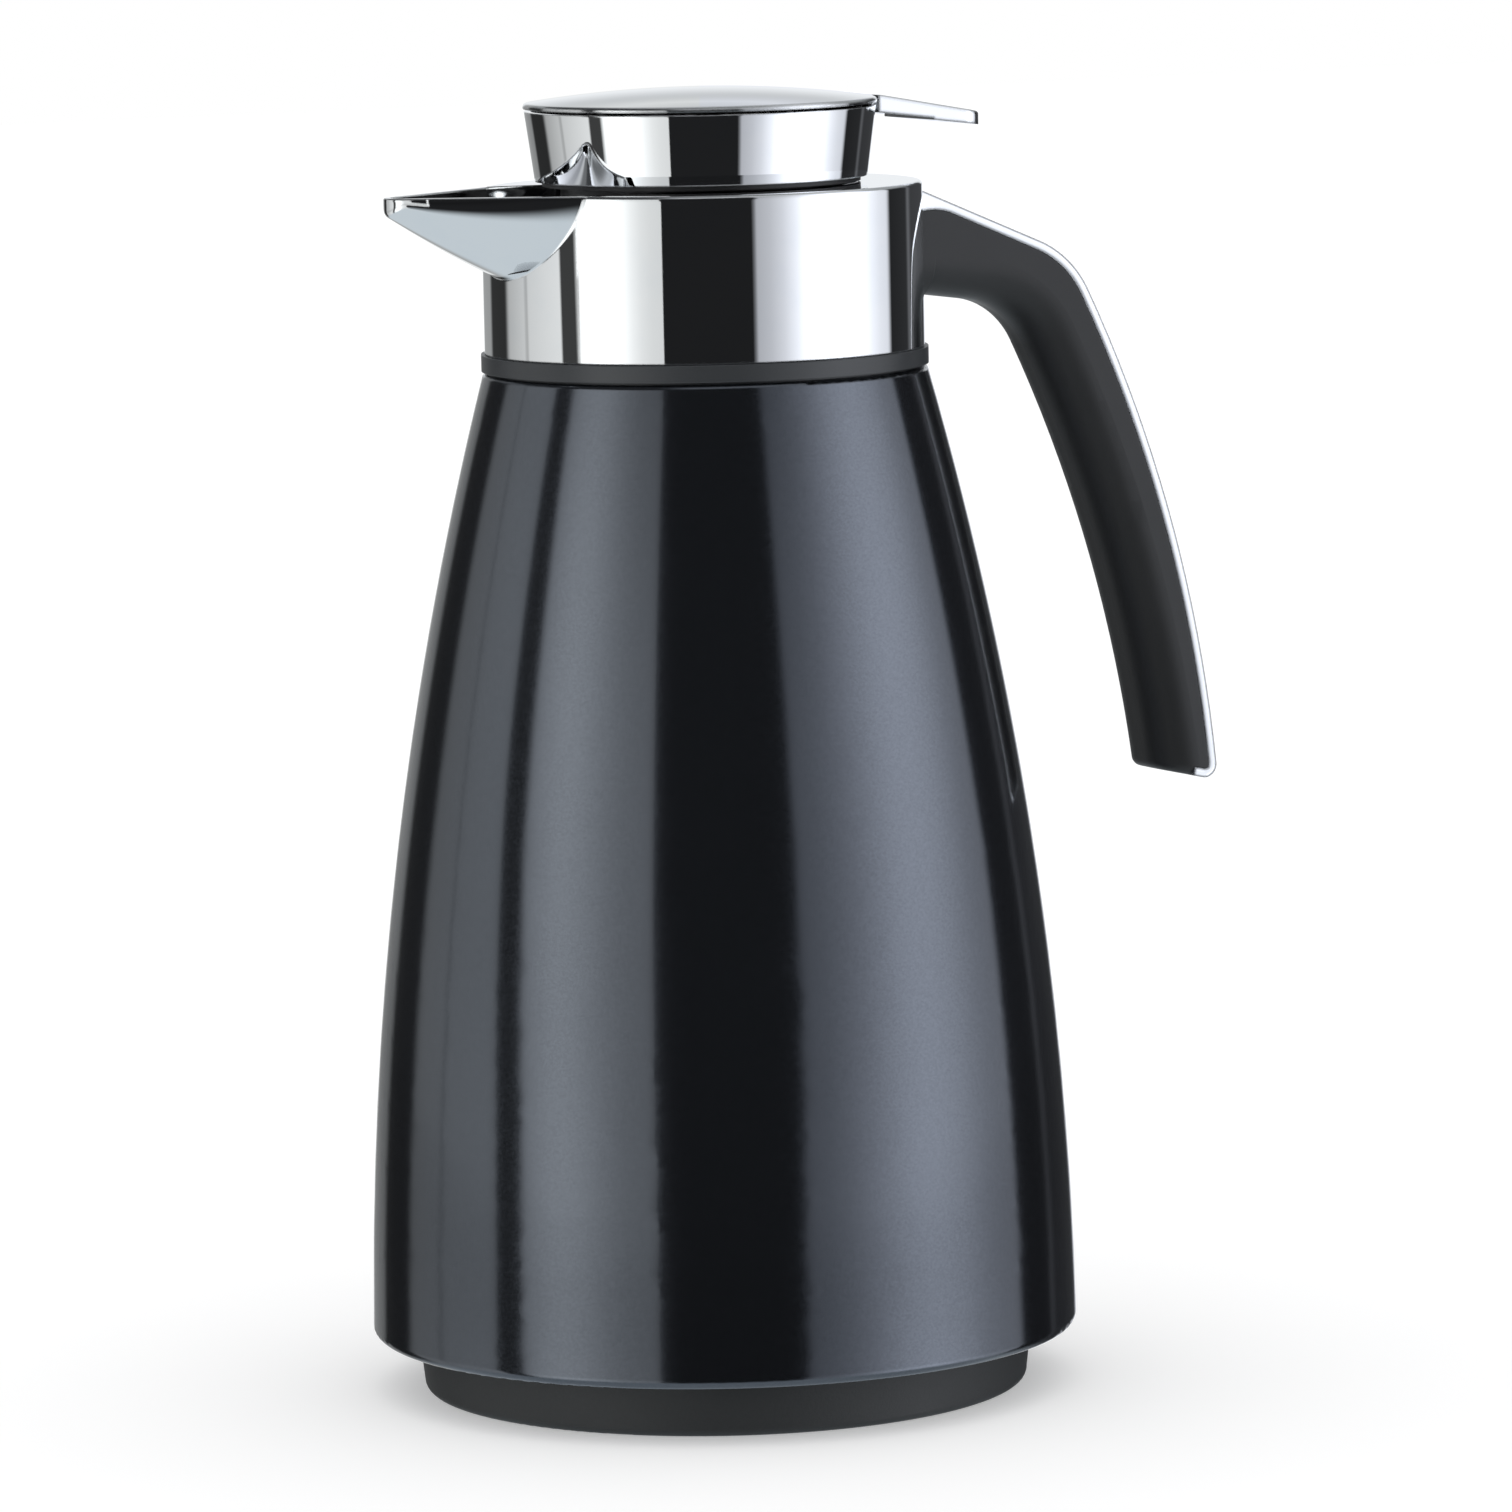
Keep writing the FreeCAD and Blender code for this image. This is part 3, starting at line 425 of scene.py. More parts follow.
@dataclass(frozen=True)
class MouldedPlastic(Finish):
    """Plastic with a moulded grain."""

    tone: Rgb = (0.03, 0.03, 0.03)
    light: Rgb = (0.04, 0.04, 0.04)
    roughness: float = 0.5
    grain_per_metre: float = 1800.0
    grain_depth: float = 0.00005
    strength: float = 0.25
    sheen: float = 0.0
    sheen_rough: float = 0.35
    sheen_tint: Rgb = (0.86, 0.94, 1.0)
    edge: float = 0.0004
    patches_per_metre: float = 45.0
    patch_range: Span = (0.35, 0.65)
    grain_share: float = 0.6
    patch_share: float = 0.4
    gloss: float = 0.08
    patch_rough: float = 0.16
    rub_least: float = 0.3
    rub_share: float = 0.6
    rub_gloss: float = 0.08
    rub_lift: float = 1.7

    def shade(self, graph: Graph) -> dict[str, Any]:
        """Grain in the bump, with a little of it in the colour and the gloss, and edges rubbed paler.

        Args:
            graph: the material's node tree.

        Returns:
            Numbers, colours and wires by socket name.
        """
        place = graph.place()
        grain = graph.noise(place, self.grain_per_metre, detail=3.0, roughness=0.6)
        patch = graph.noise(place, self.patches_per_metre, detail=3.0)
        eased = graph.eased(self.edge)
        bump = graph.bump(grain, self.strength, self.grain_depth, eased)
        tint = graph.mix(grain * self.grain_share + patch * self.patch_share, self.tone, self.light)
        rubbed = graph.edges(eased) * patch.ramp(*self.patch_range, self.rub_least, 1.0)
        pale = tuple(min(1.0, c * self.rub_lift) for c in self.light)
        dull = self.roughness - self.gloss + patch * self.patch_rough
        return {"Base Color": graph.mix(rubbed * self.rub_share, tint, pale), "Normal": bump,
                "Roughness": dull - rubbed * self.rub_gloss, "Sheen Weight": self.sheen,
                "Sheen Roughness": self.sheen_rough, "Sheen Tint": rgba(self.sheen_tint)}


@dataclass(frozen=True)
class SilveredGlass(Finish):
    """Glass with a silver layer behind it."""

    tone: Rgb = (0.86, 0.87, 0.88)
    cooling: float = 0.93
    waves_per_metre: float = 22.0
    wave_strength: float = 0.1
    wave_depth: float = 0.001
    roughness: float = 0.05
    wave_rough: float = 0.06

    def shade(self, graph: Graph) -> dict[str, Any]:
        """Silver with slow waves of blown glass.

        Args:
            graph: the material's node tree.

        Returns:
            Numbers, colours and wires by socket name.
        """
        wave = graph.noise(graph.place(), self.waves_per_metre)
        cool = tuple(c * self.cooling for c in self.tone)
        return {"Base Color": graph.mix(wave, self.tone, cool), "Metallic": 1.0, "Coat Weight": 1.0,
                "Roughness": self.roughness + wave * self.wave_rough,
                "Normal": graph.bump(wave, self.wave_strength, self.wave_depth)}


@dataclass(frozen=True)
class Silicone(Finish):
    """Soft pale rubber for seals."""

    tone: Rgb = (0.62, 0.62, 0.60)
    dusty: float = 1.12
    dust_per_metre: float = 500.0
    dust_strength: float = 0.15
    dust_depth: float = 0.0001
    roughness: float = 0.5
    dust_rough: float = 0.2
    glow: float = 0.1

    def shade(self, graph: Graph) -> dict[str, Any]:
        """Slightly dusty, slightly mottled.

        Args:
            graph: the material's node tree.

        Returns:
            Numbers, colours and wires by socket name.
        """
        dust = graph.noise(graph.place(), self.dust_per_metre, detail=3.0)
        pale = tuple(min(1.0, c * self.dusty) for c in self.tone)
        return {"Base Color": graph.mix(dust, self.tone, pale), "Subsurface Weight": self.glow,
                "Roughness": self.roughness + dust * self.dust_rough,
                "Normal": graph.bump(dust, self.dust_strength, self.dust_depth)}


@dataclass(frozen=True)
class TurnedSteel(Finish):
    """Plain steel of pins, springs and screws."""

    tone: Rgb = (0.56, 0.56, 0.57)
    shade_share: float = 0.8
    marks_per_metre: float = 1500.0
    roughness: float = 0.22
    mark_rough: float = 0.18

    def shade(self, graph: Graph) -> dict[str, Any]:
        """Fine tool marks.

        Args:
            graph: the material's node tree.

        Returns:
            Numbers, colours and wires by socket name.
        """
        marks = graph.noise(graph.place(), self.marks_per_metre, detail=3.0)
        dark = tuple(c * self.shade_share for c in self.tone)
        return {"Base Color": graph.mix(marks, dark, self.tone), "Metallic": 1.0,
                "Roughness": self.roughness + marks * self.mark_rough}


class Surface(Enum):
    """The jug's finishes."""

    LACQUER = MetallicLacquer("anthracite_lacquer")
    CHROME = MirrorPlate("bright_plating")
    # The trim's edges carry painted shade, a dark outline mixed into the colour.
    TRIM = MirrorPlate("bright_trim", tone=(0.90, 0.91, 0.92), edge=0.0012, painted_edge_shade=0.95)
    RING = MouldedPlastic("satin_ring_grey", (0.030, 0.033, 0.036), (0.045, 0.049, 0.054), roughness=0.34,
                          grain_per_metre=2400.0, grain_depth=0.00002, strength=0.12)
    BASE = MouldedPlastic("grained_base", (0.020, 0.022, 0.023), (0.034, 0.036, 0.037), roughness=0.55,
                          grain_per_metre=1500.0, grain_depth=0.00008, strength=0.5)
    GRIP = MouldedPlastic("soft_touch_black", (0.016, 0.017, 0.018), (0.024, 0.025, 0.027), roughness=0.46,
                          grain_per_metre=2600.0, grain_depth=0.00003, strength=0.2, sheen=0.10)
    MOULDED = MouldedPlastic("moulded_black", (0.018, 0.018, 0.019), (0.026, 0.026, 0.028), roughness=0.42,
                             grain_per_metre=1600.0)
    GLASS = SilveredGlass("silvered_glass")
    SEAL = Silicone("pale_silicone")
    STEEL = TurnedSteel("plain_steel")


class Wardrobe:
    """Makes each finish once and hands it out."""

    def __init__(self) -> None:
        """Start with nothing made."""
        self._made: dict[Surface, bpy.types.Material] = {}

    def get(self, surface: Surface) -> bpy.types.Material:
        """Material of a finish.

        Args:
            surface: the finish.

        Returns:
            Its material, made when it is first asked for.
        """
        if surface not in self._made:
            self._made[surface] = surface.value.make()
        return self._made[surface]

    def dress(self, piece: bpy.types.Object, surface: Surface) -> None:
        """Give a whole piece one finish.

        Args:
            piece: a mesh object.
            surface: the finish.
        """
        piece.data.materials.clear()
        piece.data.materials.append(self.get(surface))
        LOG.info("%s: %s", piece.name, surface.value.name)


@dataclass
class Assembly:
    """A group of nodes that share a job, each with its finish."""

    nodes: dict[str, bpy.types.Object]
    wardrobe: Wardrobe
    finishes: dict[str, Surface] = field(default_factory=dict)

    def dress(self) -> None:
        """Put the finishes on the nodes."""
        for name, surface in self.finishes.items():
            self.wardrobe.dress(self.nodes[name], surface)


@dataclass
class Shell(Assembly):
    """Tapered shell, base and joint ring."""

    finishes: dict[str, Surface] = field(default_factory=lambda: {
        "outer_shell": Surface.LACQUER, "base_cap": Surface.BASE, "base_ring": Surface.MOULDED,
        "joint_ring": Surface.RING})


@dataclass
class Vessel(Assembly):
    """Double-walled bottle and what holds it."""

    finishes: dict[str, Surface] = field(default_factory=lambda: {
        "liner_outer_bottle": Surface.GLASS, "liner_inner_bottle": Surface.GLASS,
        "liner_pads": Surface.SEAL, "liner_cushion": Surface.SEAL, "neck_gasket": Surface.SEAL})


class MeshBin:
    """Gathers the points and faces of one piece, in millimetres."""

    def __init__(self) -> None:
        """Start empty."""
        self.points: list[Vector] = []
        self.faces: list[tuple[int, ...]] = []

    def grid(self, rows: Sequence[Sequence[Vector]]) -> list[list[int]]:
        """Add a sheet of four-sided faces.

        Args:
            rows: rows of points, each of the same length.

        Returns:
            The points' numbers, by row.
        """
        numbers = []
        for row in rows:
            numbers.append(list(range(len(self.points), len(self.points) + len(row))))
            self.points.extend(point.copy() for point in row)
        self.skin(numbers)
        return numbers

    def skin(self, numbers: Sequence[Sequence[int]]) -> None:
        """Add faces between rows of points that are there already.

        Args:
            numbers: rows of point numbers.
        """
        for low, high in zip(numbers, numbers[1:]):
            for i in range(len(low) - 1):
                self.faces.append((low[i], low[i + 1], high[i + 1], high[i]))

    def cap(self, loop: Sequence[int]) -> None:
        """Close a loop of points with one face."""
        self.faces.append(tuple(loop))

    def piece(self, name: str, sharp: float = 35.0) -> bpy.types.Object:
        """Turn what was gathered into an object.

        Args:
            name: the object's name.
            sharp: angle in degrees above which an edge stays crisp.

        Returns:
            The object, linked to the scene.
        """
        mesh = bpy.data.meshes.new(name)
        mesh.from_pydata([p * MM for p in self.points], [], self.faces)
        shape = bmesh.new()
        shape.from_mesh(mesh)
        bmesh.ops.remove_doubles(shape, verts=shape.verts, dist=MERGE)
        bmesh.ops.dissolve_degenerate(shape, edges=shape.edges, dist=MERGE)
        bmesh.ops.recalc_face_normals(shape, faces=shape.faces)
        for face in shape.faces:
            face.smooth = True
        shape.to_mesh(mesh)
        shape.free()
        mesh.set_sharp_from_angle(angle=math.radians(sharp))
        made = bpy.data.objects.new(name, mesh)
        bpy.context.scene.collection.objects.link(made)
        return made


def curve_round(start: Vector, corner: Vector, end: Vector, steps: int) -> list[Vector]:
    """Points of a soft bend from one point to another about a corner.

    Args:
        start: where the bend starts.
        corner: the corner that it rounds.
        end: where it ends.
        steps: parts that the bend is split into.

    Returns:
        The points, both ends included.
    """
    shares = [i / steps for i in range(steps + 1)]
    return [start * (1 - k) ** 2 + corner * (2 * k * (1 - k)) + end * k ** 2 for k in shares]


@dataclass
class SpoutForm:
    """One face of the spout: sections that narrow from the collar to a rounded nose.

    Lengths are in millimetres and heights run down from the rim.
    """

    root_x: float
    root_half: float
    root_depth: float
    tip_x: float
    tip_half: float
    tip_depth: float
    nose_x: float
    nose_r: float
    edge: float
    bend: float
    bow: float = 0.8

    # Farthest place along that is tried, and the step back that gives the sheet's direction.
    FARTHEST: ClassVar[float] = 1.2
    LOOK_BACK: ClassVar[float] = 0.01
    # Most of the nose's height that its bend and its edge may take.
    BEND_LIMIT: ClassVar[float] = 0.4
    EDGE_LIMIT: ClassVar[float] = 0.3

    @staticmethod
    def across(half: float, depth: float, share: float) -> tuple[float, float]:
        """Point of a section, an arc that hangs from the rim.

        Args:
            half: half the section's width.
            depth: its depth.
            share: place on the arc, from -1 to 1.

        Returns:
            The point's Y and Z.
        """
        radius = (half * half + depth * depth) / (2 * depth)
        turn = share * math.atan2(half, radius - depth)
        return radius * math.sin(turn), radius - depth - radius * math.cos(turn)

    def at(self, along: float, share: float) -> Vector:
        """Point of the sheet.

        Args:
            along: 0 at the collar and 1 at the tip.
            share: place across, from -1 to 1.

        Returns:
            The point.
        """
        root = Vector((-self.root_x, *self.across(self.root_half, self.root_depth, share)))
        tip = Vector((-self.tip_x, *self.across(self.tip_half, self.tip_depth, share)))
        swell = self.bow * 4 * max(0.0, along * (1 - along)) * (1 - share ** 4)
        turn = share * math.pi / 2
        return root.lerp(tip, along) + Vector((0, math.sin(turn), -math.cos(turn))) * swell

    def reach(self, share: float) -> float:
        """How far the sheet goes before it meets the nose.

        Args:
            share: place across, from -1 to 1.

        Returns:
            The place along, where 1 is the tip.
        """
        low, high = 0.0, self.FARTHEST
        for _ in range(HALVINGS):
            middle = (low + high) / 2
            p = self.at(middle, share)
            inside = p.x > self.nose_x or math.hypot(p.x - self.nose_x, p.y) < self.nose_r
            low, high = (middle, high) if inside else (low, middle)
        return low

    def height(self, x: float, y: float) -> float:
        """Height of the sheet above a point in plan.

        Args:
            x: place towards the handle.
            y: place across.

        Returns:
            The height.
        """
        along = max(0.0, (-x - self.root_x) / (self.tip_x - self.root_x))
        low, high = -1.0, 1.0
        for _ in range(HALVINGS):
            middle = (low + high) / 2
            low, high = (middle, high) if self.at(along, middle).y < y else (low, middle)
        return self.at(along, low).z

    def column(self, share: float, lead: Sequence[Vector], rows: int) -> list[Vector]:
        """Line of points from inside the collar, along the sheet and up the nose.

        Args:
            share: place across, from -1 to 1.
            lead: points before the collar.
            rows: points along the sheet.

        Returns:
            The line.
        """
        end = self.reach(share)
        root, corner = self.at(0.0, share), self.at(end, share)
        rise = max(-corner.z, 0.0)
        along = corner - self.at(end - self.LOOK_BACK, share)
        bend = min(self.bend, self.BEND_LIMIT * rise)
        top = Vector((corner.x, corner.y, -min(self.edge, self.EDGE_LIMIT * rise)))
        before = corner - along.normalized() * bend
        stop = end * (before.x - root.x) / (corner.x - root.x)
        sheet = [self.at(stop * i / rows, share) for i in range(rows)]
        foot = curve_round(self.at(stop, share), corner, corner + Vector((0, 0, bend)), BEND_STEPS)
        nose = [foot[-1].lerp(top, i / NOSE_STEPS) for i in range(1, NOSE_STEPS + 1)]
        return [*lead, *sheet, *foot, *nose]


@dataclass
class Neck(Assembly):
    """Collar with the spout, and the threaded insert in it.

    Lengths are in millimetres. The holds are extra lines beside rounded edges, which keep flat faces flat.
    """

    finishes: dict[str, Surface] = field(default_factory=lambda: {
        "neck_insert": Surface.MOULDED, "collar_screws": Surface.STEEL})
    radius: float = 49.0
    wall: float = 2.2
    bottom: float = 232.65
    top: float = 269.4
    deck: float = 2.2
    deck_middle: float = 42.0
    bore: float = 34.45
    bore_edge: float = 0.3
    edge: float = 0.9
    foot_edge: float = 0.25
    foot_rise: float = 0.6
    wall_hold: float = 0.25
    deck_hold: float = 0.2
    half_angle: float = 33.0
    spout_depth: float = 22.7
    reach: float = 76.7
    tip_half: float = 3.5
    tip_depth: float = 3.9
    spout_wall: float = 2.0
    lip_share: float = 0.85
    sunk_share: float = 0.4
    rim_limit: float = 0.35
    outer_edge: float = 0.45
    outer_bend: float = 1.0
    inner_edge: float = 0.35
    inner_bend: float = 0.9
    columns: int = 96
    rows: int = 48
    deck_steps: int = 240
    wall_steps: int = 60
    edge_steps: int = 8

    def build(self) -> bpy.types.Object:
        """Make the collar with its spout.

        Returns:
            The collar.
        """
        made = MeshBin()
        outer, inner = self._forms()
        self._spout(made, outer, inner)
        cut = inner.root_half + TUCK
        self._deck(made, cut)
        self._low_wall(made, cut, outer)
        for point in made.points:
            point.z += self.top
        collar = made.piece("collar_with_spout")
        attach(collar, "jug")
        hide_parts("collar")
        self.wardrobe.dress(collar, Surface.CHROME)
        return collar

    def _forms(self) -> tuple[SpoutForm, SpoutForm]:
        """Shape the spout.

        Returns:
            Its outside and its inside.
        """
        turn = math.radians(self.half_angle)
        root_x = self.radius * math.cos(turn)
        root_half = self.radius * math.sin(turn)
        lean = math.atan2(root_half - self.tip_half, self.reach - root_x)
        spare = self.tip_half / math.tan(lean)
        nose_r = spare * math.sin(lean) / (1 - math.sin(lean))
        nose_x = nose_r - self.reach
        inset = self.spout_wall / math.cos(lean)
        outer = SpoutForm(root_x, root_half, self.spout_depth, self.reach, self.tip_half, self.tip_depth,
                          nose_x, nose_r, self.outer_edge, self.outer_bend)
        inner = SpoutForm(root_x, root_half - inset, self.spout_depth - self.spout_wall, self.reach,
                          self.tip_half - inset, self.tip_depth - self.spout_wall, nose_x,
                          nose_r - self.spout_wall * self.lip_share, self.inner_edge, self.inner_bend)
        return outer, inner

    def _skin(self, form: SpoutForm, inwards: bool) -> list[list[Vector]]:
        """Lines of points of one face of the spout.

        Args:
            form: the face.
            inwards: whether it leads in to the bore, or only through the collar's wall.

        Returns:
            The lines, side by side.
        """
        lines = []
        for j in range(self.columns + 1):
            share = RIM_SHARE * (2 * j / self.columns - 1)
            root = form.at(0.0, share)
            back = -math.sqrt(self.bore ** 2 - root.y ** 2) if inwards else root.x + self.wall
            lead = [Vector((back + (root.x - back) * i / LEAD_STEPS, root.y, root.z))
                    for i in range(LEAD_STEPS)]
            lines.append(form.column(share, lead, self.rows))
        return lines

    def _spout(self, made: MeshBin, outer: SpoutForm, inner: SpoutForm) -> None:
        """Add the spout's two skins with a rounded rim between them.

        Args:
            made: the piece that it goes into.
            outer: the outside.
            inner: the inside.
        """
        numbers = [made.grid(self._skin(outer, False)), made.grid(self._skin(inner, True))]
        last = self.columns
        loops = [grid[0] + [line[-1] for line in grid[1:last]] + grid[last][::-1] for grid in numbers]
        rim = []
        for a, b in zip(*loops):
            low, high = made.points[a], made.points[b]
            p, q = Vector((low.x, low.y, 0.0)), Vector((high.x, high.y, 0.0))
            gap = q - p
            step = gap.normalized() * min(outer.edge, self.rim_limit * gap.length)
            rim.append(curve_round(low, p, p + step, RIM_STEPS)[1:]
                       + curve_round(q - step, q, high, RIM_STEPS)[:-1])
        edges = made.grid(list(zip(*rim)))
        made.skin([loops[0], edges[0]])
        made.skin([edges[-1], loops[1]])
        made.skin([[line[0] for line in numbers[0]], [line[0] for line in numbers[1]]])

    @staticmethod
    def _bearings(limit: float, count: int) -> list[float]:
        """Bearings spread evenly either way, with a narrow step at each end.

        Args:
            limit: the last bearing in radians, either way.
            count: steps.

        Returns:
            The bearings.
        """
        evenly = [limit * (2 * i / count - 1) for i in range(count + 1)]
        return [evenly[0], evenly[0] + SEAM, *evenly[1:-1], evenly[-1] - SEAM, evenly[-1]]

    @staticmethod
    def _ring(made: MeshBin, rows: Sequence[Sequence[Vector]]) -> None:
        """Add a part of a ring, closed at both ends.

        Args:
            made: the piece that it goes into.
            rows: lines along the ring, in order round its section.
        """
        numbers = made.grid([*rows, rows[0]])
        made.cap([row[0] for row in numbers[:-1]])
        made.cap([row[-1] for row in numbers[:-1]])

    def _profile(self) -> list[tuple[float, float]]:
        """Section of the wall and the deck.

        Returns:
            Radii with heights from the rim, from the foot round to the deck's underside.
        """
        depth = self.bottom - self.top
        inside, lip = self.radius - self.wall, self.bore_edge
        turns = [math.pi / 2 * i / self.edge_steps for i in range(self.edge_steps + 1)]
        bend = [(self.radius - self.edge + self.edge * math.cos(a), -self.edge + self.edge * math.sin(a))
                for a in turns]
        return [(inside, depth), (self.radius - self.foot_edge, depth), (self.radius, depth + self.foot_edge),
                (self.radius, depth + self.foot_rise), (self.radius, depth / 2),
                (self.radius, -self.edge - self.wall_hold), *bend,
                (self.radius - self.edge - self.deck_hold, 0.0), (self.deck_middle, 0.0),
                (self.bore + lip + self.deck_hold, 0.0), (self.bore + lip, 0.0),
                (self.bore + lip / 3, -lip / 3), (self.bore, -lip), (self.bore, -self.deck),
                (inside, -self.deck)]

    def _deck(self, made: MeshBin, cut: float) -> None:
        """Add the wall and the deck, all but the gap where the spout passes.

        Args:
            made: the piece that it goes into.
            cut: half the gap's width.
        """
        rows = []
        for r, z in self._profile():
            turns = self._bearings(math.pi - math.asin(cut / r), self.deck_steps)
            rows.append([Vector((r * math.cos(a), r * math.sin(a), z)) for a in turns])
        self._ring(made, rows)

    def _low_wall(self, made: MeshBin, cut: float, outer: SpoutForm) -> None:
        """Add the wall below the spout, with its top inside the spout's skin.

        Args:
            made: the piece that it goes into.
            cut: half the width of the gap above it.
            outer: the spout's outside.
        """
        depth = self.bottom - self.top
        inside = self.radius - self.wall
        levels = [(inside, 0.0), (self.radius - self.foot_edge, 0.0), (self.radius, self.foot_edge),
                  (self.radius, self.foot_rise), (self.radius, None), (inside, None)]
        rows = []
        for r, up in levels:
            row = []
            for a in self._bearings(math.asin(cut / r), self.wall_steps):
                x, y = -r * math.cos(a), r * math.sin(a)
                z = outer.height(x, y) + self.spout_wall * self.sunk_share if up is None else depth + up
                row.append(Vector((x, y, z)))
            rows.append(row)
        self._ring(made, rows)


@dataclass
class ScrewSet:
    """Identical cross-head screws, set out by a node group.

    Lengths are in metres.
    """

    name: str
    node: str
    body: str
    slot: str
    head_radius: float
    head_height: float
    shank_radius: float
    length: float
    places: Sequence[Place]
    axis: Place
    wardrobe: Wardrobe

    INPUTS: ClassVar[tuple[str, ...]] = ("Head Radius", "Head Height", "Shank Radius", "Length")
    # Corners of the round parts, and the parts' sizes as shares of the head's radius or height.
    ROUND: ClassVar[int] = 32
    SHANK_ROUND: ClassVar[int] = 24
    RIM_TALL: ClassVar[float] = 0.55
    CROWN_TALL: ClassVar[float] = 0.45
    CROWN_NARROW: ClassVar[float] = 0.78
    SHANK_SUNK: ClassVar[float] = 0.1
    CROSS_LONG: ClassVar[float] = 1.2
    CROSS_WIDE: ClassVar[float] = 0.26
    CROSS_TALL: ClassVar[float] = 1.1
    CRISP_DEGREES: ClassVar[float] = 30.0

    def build(self) -> bpy.types.Object:
        """Set the screws out and turn them into one plain mesh.

        Returns:
            The screws.
        """
        mesh = bpy.data.meshes.new(self.name)
        mesh.from_pydata([Vector(p) for p in self.places], [], [])
        made = bpy.data.objects.new(self.name, mesh)
        bpy.context.scene.collection.objects.link(made)
        modifier = made.modifiers.new("set_out", "NODES")
        modifier.node_group = self._group()
        sizes = (self.head_radius, self.head_height, self.shank_radius, self.length)
        given = dict(zip(self.INPUTS, sizes), Axis=self.axis, Finish=self.wardrobe.get(Surface.STEEL))
        for item in modifier.node_group.interface.items_tree:
            if item.name in given:
                modifier[item.identifier] = given[item.name]
        bpy.context.view_layer.update()
        depsgraph = bpy.context.evaluated_depsgraph_get()
        plain = bpy.data.meshes.new_from_object(made.evaluated_get(depsgraph))
        made.modifiers.clear()
        made.data = plain
        plain.set_sharp_from_angle(angle=math.radians(self.CRISP_DEGREES))
        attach(made, self.body)
        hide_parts(self.node)
        LOG.info("%s: %d screws", self.name, len(self.places))
        return made

    def _group(self) -> bpy.types.NodeTree:
        """Node group that puts a screw at each point, with its shank along the axis.

        Returns:
            The node group.
        """
        tree = bpy.data.node_groups.new(f"{self.name}_layout", "GeometryNodeTree")
        kinds = {"Geometry": "Geometry", **dict.fromkeys(self.INPUTS, "Float"), "Axis": "Vector",
                 "Finish": "Material"}
        for name, kind in kinds.items():
            tree.interface.new_socket(name=name, in_out="INPUT", socket_type=f"NodeSocket{kind}")
        tree.interface.new_socket(name="Geometry", in_out="OUTPUT", socket_type="NodeSocketGeometry")
        graph = Graph(tree)
        source = graph.node("NodeGroupInput", out="Geometry")
        given = {name: Wire(graph, source.socket.node.outputs[name]) for name in kinds}
        screw = self._screw(graph, *(given[name] for name in self.INPUTS))
        turn = graph.node("FunctionNodeAlignRotationToVector", {"axis": "Z"}, {"Vector": given["Axis"]})
        spots = graph.node("GeometryNodeMeshToPoints", None, {"Mesh": source})
        set_out = graph.node("GeometryNodeInstanceOnPoints", None,
                             {"Points": spots, "Instance": screw, "Rotation": turn})
        plain = graph.node("GeometryNodeRealizeInstances", None, {"Geometry": set_out})
        smooth = graph.node("GeometryNodeSetShadeSmooth", None, {"Geometry": plain})
        dressed = graph.node("GeometryNodeSetMaterial", None,
                             {"Geometry": smooth, "Material": given["Finish"]})
        graph.node("NodeGroupOutput", None, {"Geometry": dressed})
        return tree

    def _screw(self, graph: Graph, head_r: Wire, head_h: Wire, shank_r: Wire, length: Wire) -> Wire:
        """Nodes of one screw, with the underside of its head at the origin.

        Args:
            graph: the node group's graph.
            head_r: the head's radius.
            head_h: the head's height.
            shank_r: the shank's radius.
            length: the shank's length.

        Returns:
            The screw's mesh.
        """
        shank = graph.node("GeometryNodeMeshCylinder", None,
                           {"Vertices": self.SHANK_ROUND, "Radius": shank_r, "Depth": length}, "Mesh")
        rim = graph.node("GeometryNodeMeshCylinder", None,
                         {"Vertices": self.ROUND, "Radius": head_r, "Depth": head_h * self.RIM_TALL}, "Mesh")
        crown = graph.node("GeometryNodeMeshCone", None,
                           {"Vertices": self.ROUND, "Radius Top": head_r, "Depth": head_h * self.CROWN_TALL,
                            "Radius Bottom": head_r * self.CROWN_NARROW}, "Mesh")
        solid = graph.joined("UNION", (
            graph.lifted(shank, length * 0.5 - head_h * self.SHANK_SUNK),
            graph.lifted(rim, head_h * (-self.RIM_TALL / 2)), graph.lifted(crown, head_h * -1.0)))
        arms = []
        for x, y in ((self.CROSS_LONG, self.CROSS_WIDE), (self.CROSS_WIDE, self.CROSS_LONG)):
            size = graph.node("ShaderNodeCombineXYZ", None,
                              {"X": head_r * x, "Y": head_r * y, "Z": head_h * self.CROSS_TALL})
            arm = graph.node("GeometryNodeMeshCube", None, {"Size": size}, "Mesh")
            arms.append(graph.lifted(arm, head_h * -1.0))
        return graph.joined("DIFFERENCE", arms, solid)


@dataclass
class Handle(Assembly):
    """Soft-touch handle with its bright strip."""

    finishes: dict[str, Surface] = field(default_factory=lambda: {
        "handle_body": Surface.GRIP, "handle_strip": Surface.TRIM, "handle_screws": Surface.STEEL})


@dataclass
class Lid(Assembly):
    """Screw-in lid with its tilting cover and pouring valve."""

    finishes: dict[str, Surface] = field(default_factory=lambda: {
        "lid_ring": Surface.CHROME, "lid_cover": Surface.TRIM, "stopper_body": Surface.MOULDED,
        "stopper_seal": Surface.SEAL, "hinge_pin": Surface.STEEL, "return_spring": Surface.STEEL,
        "cover_carrier": Surface.MOULDED, "cover_screws": Surface.STEEL, "valve_stem": Surface.MOULDED,
        "valve_plug": Surface.MOULDED, "valve_seal": Surface.SEAL, "valve_nut": Surface.MOULDED,
        "valve_pin": Surface.STEEL})


